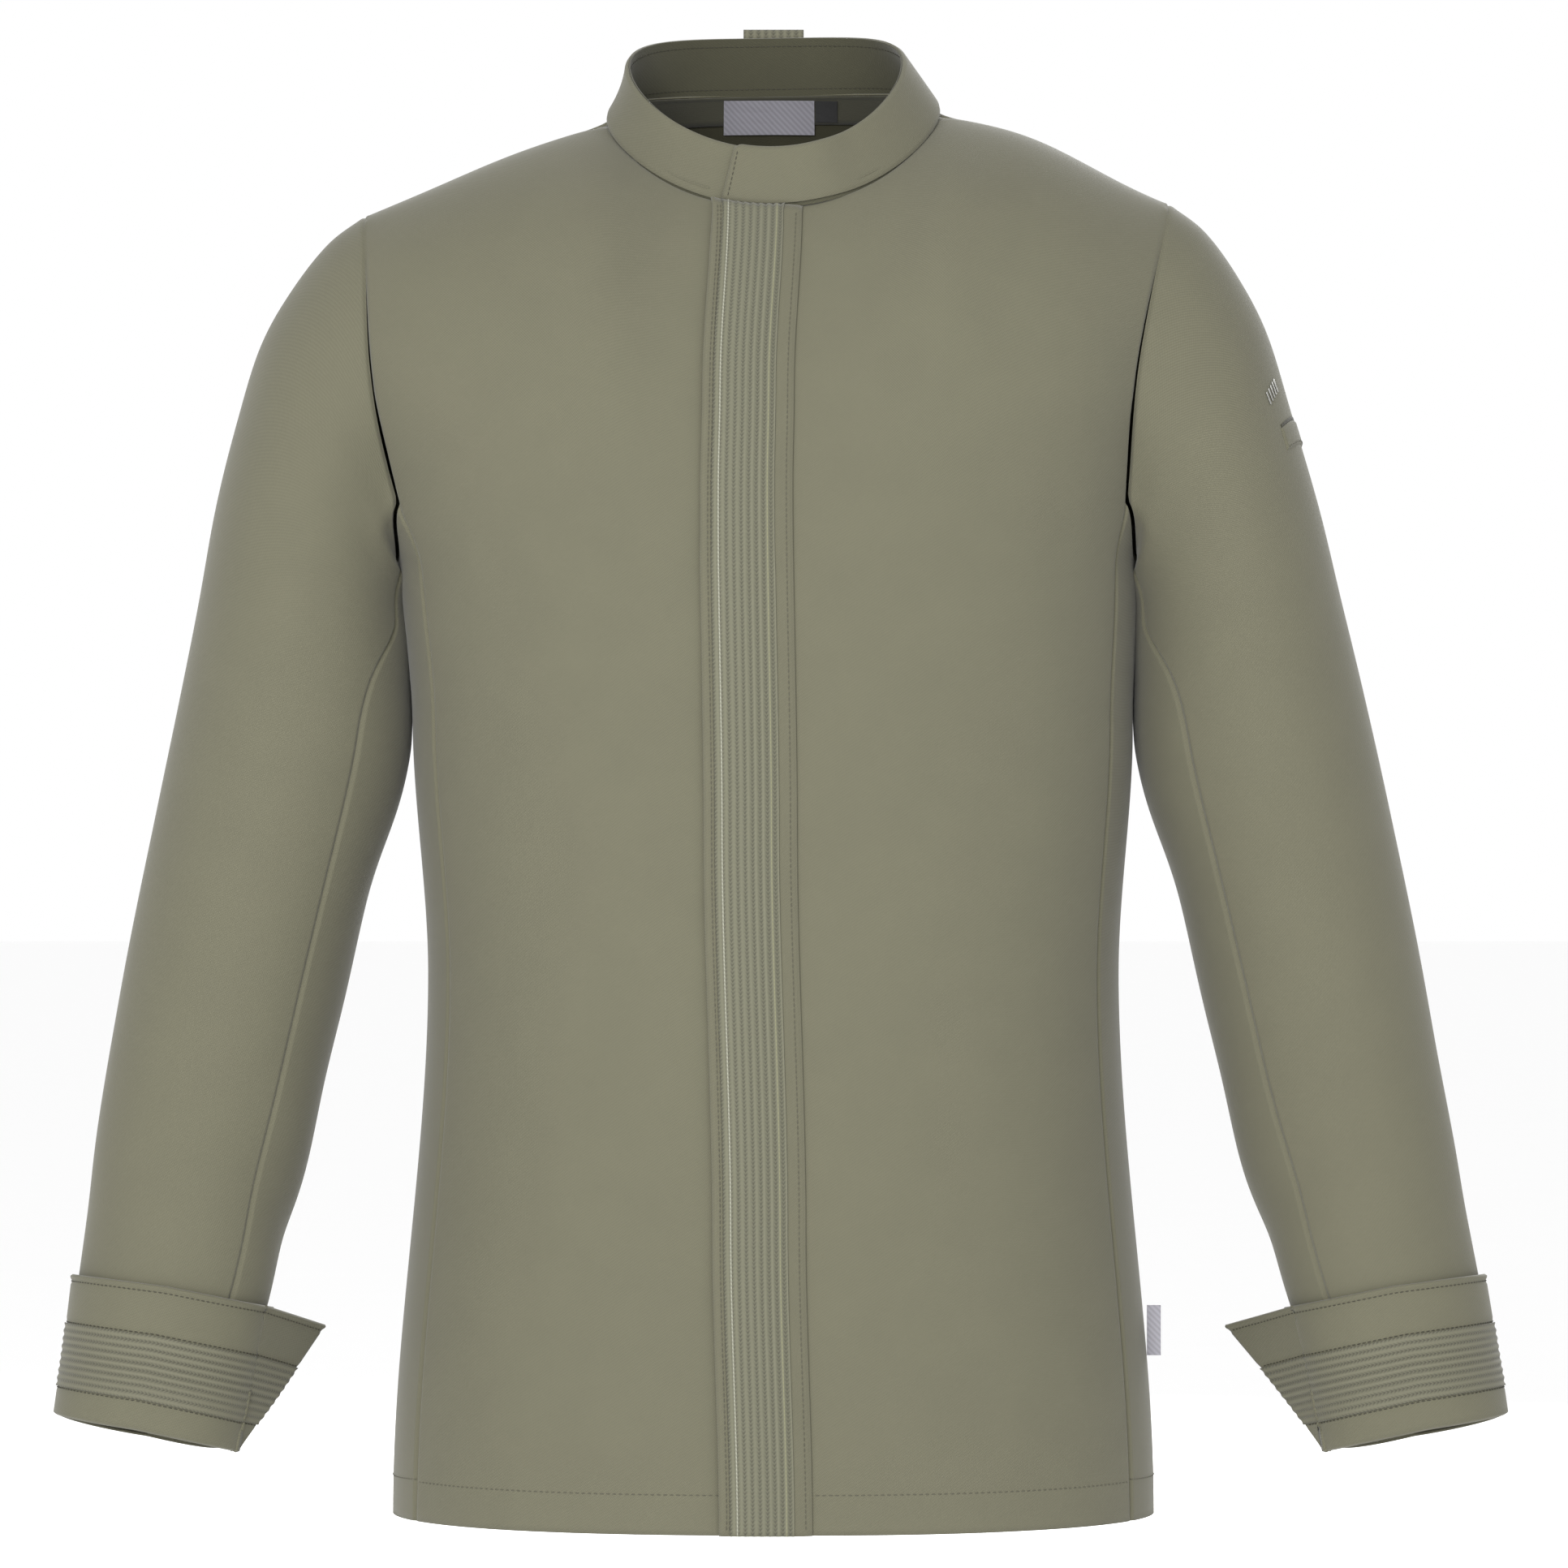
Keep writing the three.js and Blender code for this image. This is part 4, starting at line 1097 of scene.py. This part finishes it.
@dataclass
class Collar:
    """The stand collar, its inside and the ridge that holds it to the neckline."""

    form: BodyForm
    make: Piece
    top_half: float = 75
    top_depth: float = 71
    front_rise: float = 31
    back_rise: float = 30
    overlap: float = 27
    underlap: float = 20
    over_lift: float = 3.4
    flare: float = 3.5  # how far the sides of its foot stand out
    inside_foot: float = -0.06  # how far its inside goes on below the neckline, as a rise
    lean: float = 4.5  # how far its upper edge leans to the right side
    thickness: float = 1.3
    end_round: float = 5
    lap_start: float = 0.27  # the angle where its over end starts to come down, and how far on
    lap_run: float = 0.35
    ridge_drops: tuple[float, ...] = (5.4, 4.9, 4.2, 3.0, 1.8, 0.8, 0.1)  # below the neckline
    ridge_lifts: tuple[float, ...] = (0.1, 1.1, 1.6, 1.8, 1.7, 1.5, 0.7)
    ridge_flares: tuple[float, ...] = (0, 0.3, 0.6, 0.8, 0.95, 1, 1)  # its share of the flare
    ridge_lap: float = 4.2  # how much further it stands off over the placket
    ridge_stitch: float = 3.9

    def at(self, angle: Array, rise: Array) -> Array:
        """Points of the collar; angle 0 is the centre front and rise 1 the upper edge."""
        neck, deep = self.form.neck_half, self.form.neck_depth
        half, depth = mix(neck, self.top_half, rise), mix(deep, self.top_depth, rise)
        x = half * np.sin(angle) - self.lean * rise**2 * np.sin(angle) ** 2
        y = -depth * np.cos(angle)
        foot = self.form.neck_height(neck * np.sin(angle), -deep * np.cos(angle))
        height = mix(self.front_rise, self.back_rise, (1 - np.cos(angle)) / 2)
        return np.stack(np.broadcast_arrays(x, y, foot + rise * height), -1)

    def grid(self, foot: float = 0) -> ClothGrid:
        """The collar from its over end, round the neck, to its under end.

        Args:
            foot: the rise it starts at, below 0 under the neckline.

        Returns:
            The grid, on the collar's form.
        """
        neck = self.form.neck_half
        start, end = -math.asin(self.overlap / neck), math.tau + math.asin(self.underlap / neck)
        near = np.array([0, 0.5, 1.0, 1.6, 2.4, 3.6, 5]) / neck
        angles = np.unique(np.concatenate([start + near, np.linspace(start, end, 220)]))
        rises = np.unique(np.append(graded(16, 32), np.linspace(foot, 0, 4)))

        def at(angle: Array, rise: Array) -> Array:
            corner = self.end_round * hump((angle - start) * neck / 3.2)
            return self.at(angle + 0.05 * rise * hump((angle - start) / 0.1), rise * (1 - corner / 90))
        grid = ClothGrid.on(angles, rises, at, self.form)
        around = grid.columns[:, None]
        lap = 1 - ease((around - self.lap_start) / self.lap_run)
        flare = self.flare * np.sin(around) ** 2 * np.clip(1 - grid.rows[None, :], 0, 1) ** 2
        return grid.raised(self.over_lift * lap + flare)

    def build(self) -> None:
        """Makes the collar's outside, inside, ridge and stitching."""
        grid = self.grid()
        reach = grid.along()
        top = reach[:, -1:] - reach
        start = grid.across()
        edges = -1.1 * hump(top / 1.1) - 0.9 * hump(start / 1.0) - 0.8 * hump(reach / 1.2)
        outer = grid.raised(0.4 + edges)
        body = self.make.cloth("collar_cloth", outer, self.thickness, COLLAR_TWILL, "twill")
        inner = self.grid(self.inside_foot).raised(-self.thickness - 0.3)
        # the inside's darker twill is painted shade
        inside = self.make.cloth("collar_inside", inner, 0.8, COLLAR_INSIDE_PAINTED_SHADE, "lining")
        ridge, ridge_line = self.ridge()
        angles = np.linspace(grid.columns[0] + 0.05, grid.columns[-1], 300)
        lining = inner.raised(-0.8)
        lines = [lining.line(angles[40:260], 0.86, -0.2), lining.line(angles[40:260], 0.10, -0.2),
                 outer.line(np.full(12, grid.columns[0] + 0.04), np.linspace(0.05, 0.9, 12))]
        thread = self.make.stitches("collar_stitches", [*lines, ridge_line], DARK_THREAD)
        self.make.ride(body, "jacket_body", "collar")
        self.make.ride(inside, "jacket_body", "collar_lining")
        self.make.ride(ridge, "jacket_body")
        self.make.ride(thread, "jacket_body")

    def ridge(self) -> tuple[bpy.types.Object, tuple[Array, Array]]:
        """The turned-in seam allowance that shows as a ridge under the collar, and its stitch line."""
        reach = self.form.neck_half - 0.5
        columns = np.unique(np.concatenate([np.linspace(-reach, reach, 150), np.linspace(-35, -31, 9)]))

        def at(x: Array, drop: Array) -> Array:
            return self.form.cloth(x, self.form.top(x, Face.FRONT)[1] - drop, Face.FRONT)
        grid = ClothGrid.on(columns, -np.array(self.ridge_drops), at, self.form)
        x = grid.columns[:, None]
        lap = (1 - ease((x - 16) / 6)) * ease((x + 34.5) / 2)
        flare = self.flare * (x / self.form.neck_half) ** 2
        lift = np.array(self.ridge_lifts)[None, :] + self.ridge_lap * lap
        grid = grid.raised(lift + flare * np.array(self.ridge_flares)[None, :])
        piece = self.make.cloth("neck_ridge", grid, 0.8, TWILL, "twill", held="stretched")
        return piece, grid.line(np.linspace(2 - reach, reach - 2, 220), -self.ridge_stitch)


@dataclass
class Sleeve:
    """One sleeve with its turned-back cuff."""

    form: SleeveForm
    make: Piece
    side: Side
    cloth: float = 1.0
    cuff_cloth: float = 1.6
    cuff_tape_drop: float = 27
    tape_width: float = 33
    vent: float = -205  # degrees where the cuff starts, under its own wing
    split: float = -108  # and where its back piece meets its front piece
    hinge: float = 118
    crease: float = 160
    past: float = 40  # columns that the wing has past its crease
    stand: float = 11  # how far the cuff's foot stands off at the crease
    wing_low: float = 4
    wing_high: float = 62
    wing_turn: tuple[float, float, float] = (-0.5, 0.866, 0)  # the way it points past its crease
    wing_droop: float = 14
    wing_bend: tuple[float, float] = (-2, 16)  # from before its hinge to past it
    bend_start: float = 8
    bend_end: float = 42

    @property
    def body(self) -> str:
        """The CAD body that the sleeve rides on."""
        return f"{self.side.word}_sleeve"

    def grid(self, columns: Array, rows: Array) -> ClothGrid:
        """A grid on the sleeve."""
        return ClothGrid.on(columns, rows, self.form.cloth, self.form.body, self.side)

    def panel(self, columns: Array, rows: Array) -> ClothGrid:
        """A grid on the sleeve whose columns follow its seams."""
        def at(degrees: Array, place: Array) -> Array:
            return self.form.cloth(self.form.seam_turned(degrees, place), place)
        return ClothGrid.on(columns, rows, at, self.form.body, self.side)

    def hang(self, piece: bpy.types.Object, *nodes: str) -> None:
        """Bakes a piece of the sleeve into place and hides its CAD nodes."""
        b, sign = self.form.body, self.side.value
        out = np.array([1, 0, -b.armhole_lean]) / math.hypot(1, b.armhole_lean)
        seam = np.array([b.shoulder_half, 0, b.shoulder])
        ends = [(seam + out * far) * [sign, 1, 1] for far in (self.bend_start, self.bend_end)]
        self.make.bend(piece, ("jacket_body", self.body), np.array(ends), *nodes)

    def build(self) -> None:
        """Makes the sleeve's two panels and its cuff."""
        f, word = self.form, self.side.word
        rows = graded(200, 660) * f.end
        for name, low, high, count in (("top", f.seam_back, f.seam_front, 90),
                                       ("under", f.seam_front, f.seam_back + 360, 44)):
            length = (high - low) * 1.2
            columns = low + graded(count, length) * (high - low)
            grid = self.panel(columns, rows).sewn(start=True, end=True, foot=True)
            piece = self.make.cloth(f"{word}_{name}_sleeve_cloth", grid, self.cloth, TWILL, "twill")
            self.hang(piece, f"{word}_{name}_sleeve")
        self.cuff()

    def per_mm(self) -> float:
        """Places to a millimetre at the cuff."""
        f = self.form
        ends = f.cloth(np.array([0.0, 0.0]), np.array([f.cuff_top, f.end]))
        return (f.end - f.cuff_top) / float(np.linalg.norm(ends[1] - ends[0]))

    def off(self, place: Array) -> Array:
        """How far the cuff's outer face stands off the sleeve."""
        return 2.2 + 1.6 * (self.form.end - place) / (self.form.end - self.form.cuff_top)

    def cuff_at(self, column: Array, place: Array) -> Array:
        """Points of the cuff: columns are degrees up to the crease, and then run straight out.

        Args:
            column: how far round the cuff.
            place: how far down the sleeve.

        Returns:
            The points, with x, y and z last.
        """
        f = self.form
        column, place = np.broadcast_arrays(np.asarray(column, float), np.asarray(place, float))
        high = (f.end - place) / (f.end - f.cuff_top)
        share = np.clip((column - self.crease) / self.past, 0, 1)
        reach = share * mix(self.wing_low, self.wing_high, high)
        droop = self.wing_droop * share * high
        root = f.cloth(np.minimum(column, self.crease), place)
        return root + np.array(self.wing_turn) * reach[..., None] - droop[..., None] * [0, 0, 1]

    def laid(self, columns: Array, rows: Array, over: Array) -> ClothGrid:
        """A grid on the cuff.

        Args:
            columns: how far round.
            rows: how far down, in places.
            over: how far over the cuff's plain outer face each row lies.

        Returns:
            The grid.
        """
        f = self.form
        flat = ClothGrid.on(columns, rows, self.cuff_at, f.body, self.side)
        low = 1 - (f.end - flat.rows[None, :]) / (f.end - f.cuff_top)
        turned = flat.columns[:, None]
        stand = self.stand * low * ease((turned - 85) / 75)
        wave = 0.5 * np.sin(np.radians(turned) * 3 + 1) * ease((low - 0.55) / 0.35)
        return flat.raised(self.off(flat.rows)[None, :] + over[None, :] + stand + wave)

    def cuff(self) -> None:
        """Makes the turned-back band: a piece round the back, and one with the wing at the front."""
        f, unit = self.form, self.per_mm()
        round_front = np.unique(np.concatenate([np.linspace(self.split, self.crease, 110),
                                                np.linspace(self.crease - 8, self.crease + 6, 12),
                                                np.linspace(self.crease, self.crease + self.past, 30)]))
        round_back = np.linspace(self.vent, self.split, 50)
        near = f.cuff_top + np.array([0, *FINE, 6]) * unit
        hem = f.end + np.array([0.7, 1.1, 1.2]) * unit
        rows = np.concatenate([near, np.linspace(near[-1], f.end, 24)[1:], hem])
        drop = (rows - f.cuff_top) / unit
        tape_end = self.cuff_tape_drop + self.tape_width
        over = (0.7 * hump((drop - 1.4) / 1.3) - 0.7 * hump(drop / 0.6) - 0.7 * hump((drop - 3.9) / 0.8)
                - 0.5 * hump((drop - self.cuff_tape_drop) / 1.2) - 0.5 * hump((drop - tape_end) / 1.2))
        over = over - np.cumsum(np.where(rows > f.end, 1.1, 0))
        tape_rows = f.cuff_top + (self.cuff_tape_drop + np.linspace(0, self.tape_width, 60)) * unit
        ribs = 0.55 + 0.3 * np.cos(np.linspace(0, 8, 60) * math.tau)
        for place, columns in (("front", round_front), ("back", round_back)):
            start = f"{self.side.word}_cuff_{place}"
            grid = self.laid(columns, rows, over)
            band = self.make.cloth(f"{start}_cloth", grid, self.cuff_cloth, TWILL, "twill")
            tape_grid = self.laid(columns, tape_rows, ribs)
            tape = self.make.cloth(f"{start}_ribbing", tape_grid, 0.6, CUFF_TAPE, "ribbed_tape")
            turn = np.linspace(columns[0] + 1, columns[-1] - 1, 260)
            drops = (3.9, self.cuff_tape_drop - 0.8, tape_end + 0.8)
            lines = [grid.line(turn, f.cuff_top + far * unit) for far in drops]
            thread = self.make.stitches(f"{start}_stitches", lines, DARK_THREAD)
            if place == "front":
                self.swing(band, f"{self.side.word}_cuff_band", f"{self.side.word}_cuff_wing")
                self.swing(tape, f"{self.side.word}_cuff_tape")
                self.swing(thread)
            else:
                for piece in (band, tape, thread):
                    self.make.ride(piece, self.body)

    def swing(self, piece: bpy.types.Object, *nodes: str) -> None:
        """Bakes a front piece of the cuff into place and hides its CAD nodes."""
        f = self.form
        low, high = f.cloth(self.hinge, np.array([f.end, f.cuff_top]))
        axis = (high - low) / np.linalg.norm(high - low)
        way = np.array([-1, 0, 0]) + axis[0] * axis
        way /= np.linalg.norm(way)
        ends = [((low + high) / 2 + way * far) * [self.side.value, 1, 1] for far in self.wing_bend]
        self.make.bend(piece, (self.body, f"{self.side.word}_cuff_wing"), np.array(ends), *nodes)


@dataclass
class SleevePocket:
    """The welted pen pocket on the left sleeve and the badge over it."""

    sleeve: Sleeve
    top: float = 4.16
    welt: float = 0.27
    back: float = -19
    front: float = 37
    bars: int = 5
    bar_start: float = 29
    bar_pitch: float = 2.9
    bar_slant: float = 0.8
    bar_ends: tuple[float, float] = (3.42, 3.60)
    level: float = 0.0036  # how fast its upper edge climbs the sleeve, to lie level

    def grid(self, angles: Array, rows: Array) -> ClothGrid:
        """A grid on the sleeve that lies level."""
        s = self.sleeve

        def at(angle: Array, place: Array) -> Array:
            return s.form.cloth(angle, place - self.level * (angle - self.back))
        return ClothGrid.on(angles, rows, at, s.form.body, s.side)

    def build(self) -> None:
        """Makes the welt, the mouth (a dark sheet of painted shade), the bag and the badge."""
        s = self.sleeve
        angles = self.back + graded(30, 62) * (self.front - self.back)
        grid = self.grid(angles, self.top + graded(10, 13) * self.welt)
        reach, down = grid.across(), grid.along()
        edge = np.minimum(np.minimum(reach, reach[-1] - reach), np.minimum(down, down[:, -1:] - down))
        raised = grid.raised(1.0 - 0.8 * hump(edge / 0.9))
        welt = s.make.cloth("pocket_welt_cloth", raised, 0.9, TWILL, "twill", held="stretched")
        s.hang(welt, "sleeve_pocket_welt")
        # the mouth is a dark sheet of painted shade in the pocket's opening
        gap = self.grid(angles[2:-2], self.top - np.linspace(0.038, 0.0, 4))
        mouth = s.make.cloth("pocket_mouth_shade", gap.raised(0.25), 0.4, INSIDE_PAINTED_SHADE, "lining",
                             held="stretched")
        s.hang(mouth)
        deep = self.grid(angles, self.top + np.linspace(-0.12, 1.1, 30))
        # the bag's darker twill is painted shade
        bag = s.make.cloth("pocket_bag_cloth", deep.raised(-1.8), 0.6, INSIDE_PAINTED_SHADE, "lining")
        s.hang(bag, "sleeve_pocket_bag")
        row = np.linspace(self.back + 1.5, self.front - 1.5, 60)
        box = [grid.raised(0.9).line(row, self.top + self.welt * 0.9)]
        s.hang(s.make.stitches("pocket_stitches", box, THREAD))
        self.badge()

    def badge(self) -> None:
        """Makes the badge: a short row of slanted silver bars."""
        s = self.sleeve
        bm = bmesh.new()
        for k in range(self.bars):
            angle = self.bar_start + k * self.bar_pitch
            grid = s.grid(np.array([angle, angle + self.bar_slant]), np.array(self.bar_ends))
            low, high = grid.raised(0.5).points[0, 1], grid.raised(0.5).points[1, 0]
            middle, normal = Vector(s.make.placed((low + high) / 2)), Vector(grid.normals[0, 0])
            forward = Vector(high - low).normalized()
            beside = normal.cross(forward).normalized()
            turn = Matrix((beside, forward, beside.cross(forward))).transposed().to_4x4()
            size = Matrix.Diagonal((1.2 * MM, float(np.linalg.norm(high - low)) * MM, 0.5 * MM, 1))
            made = bmesh.ops.create_cube(bm, size=1, matrix=Matrix.Translation(middle) @ turn @ size)
            edges = {e for v in made["verts"] for e in v.link_edges}
            bmesh.ops.bevel(bm, geom=list(edges), offset=0.15 * MM, segments=2, profile=0.5,
                            affect="EDGES", material=-1)
        mesh = bpy.data.meshes.new("badge_bars")
        bm.to_mesh(mesh)
        bm.free()
        s.hang(s.make.finished("badge_bars", mesh, BADGE_METAL, "dark_label"), "sleeve_badge")


class Trims:
    """The CAD nodes that stay in sight: studs, loop and labels."""

    finishes: dict[str, Finish] = {
        "stud": STUD_METAL, "hanger_loop": LOOP_TAPE, "neck_label": PALE_LABEL, "side_label": PALE_LABEL,
        "size_tab": BLACK_TAB,
    }

    def dress(self) -> None:
        """Gives each node in sight its finish."""
        for name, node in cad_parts.items():
            if node.hide_render:
                continue
            finish = next((f for start, f in self.finishes.items() if name.startswith(start)), NECK_TAPE)
            node.data.materials.clear()
            node.data.materials.append(finish.material())
            log.info("dressed %s as %s", name, finish.name)


@dataclass
class Studio:
    """Floor, light and camera."""

    form: BodyForm
    distance: float = 4.2
    camera_height: float = 392
    camera_x: float = 5.7
    lens: float = 178.9
    floor_gap: float = 0.30

    def build(self) -> None:
        """Sets the floor, the lights and the camera."""
        scene = bpy.context.scene
        scene.view_settings.view_transform = "Standard"
        self.floor()
        world = bpy.data.worlds.new("soft_white")
        world.use_nodes = True
        sky = world.node_tree.nodes["Background"]
        sky.inputs["Color"].default_value, sky.inputs["Strength"].default_value = (1, 1, 1, 1), 1.0
        scene.world = world
        self.light("key", (-0.9, -3.6, 0.6), 1.4, 140)
        self.light("fill", (1.0, -3.7, 0.2), 1.6, 32)
        self.light("back", (0.9, 3.6, 1.2), 2.4, 140)
        data = bpy.data.cameras.new("camera")
        data.lens, data.sensor_width = self.lens, 36
        camera = bpy.data.objects.new("camera", data)
        height = self.camera_height - self.form.shoulder
        camera.location = (self.camera_x * MM, -self.distance, height * MM)
        camera.rotation_euler = (math.pi / 2, 0, 0)
        scene.collection.objects.link(camera)
        scene.camera = camera

    def floor(self) -> None:
        """Makes the floor, just under the hem."""
        bm = bmesh.new()
        bmesh.ops.create_grid(bm, x_segments=4, y_segments=4, size=30)
        mesh = bpy.data.meshes.new("floor")
        bm.to_mesh(mesh)
        bm.free()
        floor = bpy.data.objects.new("floor", mesh)
        mesh.transform(Matrix.Translation((0, 0, -self.form.shoulder * MM - self.floor_gap)))
        mesh.materials.append(PALE_FLOOR.material())
        bpy.context.scene.collection.objects.link(floor)

    def light(self, name: str, at: tuple[float, float, float], size: float, power: float) -> None:
        """Adds a large soft light that faces the jacket's middle."""
        data = bpy.data.lights.new(name, "AREA")
        data.shape, data.size, data.energy = "SQUARE", size, power
        light = bpy.data.objects.new(name, data)
        light.location = at
        ahead = Vector((0, 0, -0.3)) - Vector(at)
        light.rotation_euler = ahead.to_track_quat("-Z", "Y").to_euler()
        bpy.context.scene.collection.objects.link(light)


def main() -> None:
    """Builds the jacket and its studio."""
    logging.basicConfig(level=logging.INFO, format="%(name)s: %(message)s")
    form = BodyForm()
    make = Piece(form.shoulder)
    torso = Torso(form, make)
    torso.build()
    hem = make.stitches("hem_stitches", torso.stitch_lines, THREAD, pitch=3.4)
    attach(hem, "jacket_body")
    Placket(form, make).build()
    Collar(form, make).build()
    sleeve_form = SleeveForm(form)
    for side in Side:
        sleeve = Sleeve(sleeve_form, make, side)
        sleeve.build()
        if side is Side.LEFT:
            SleevePocket(sleeve).build()
    Trims().dress()
    Studio(form).build()


if __name__ == "__main__":
    main()
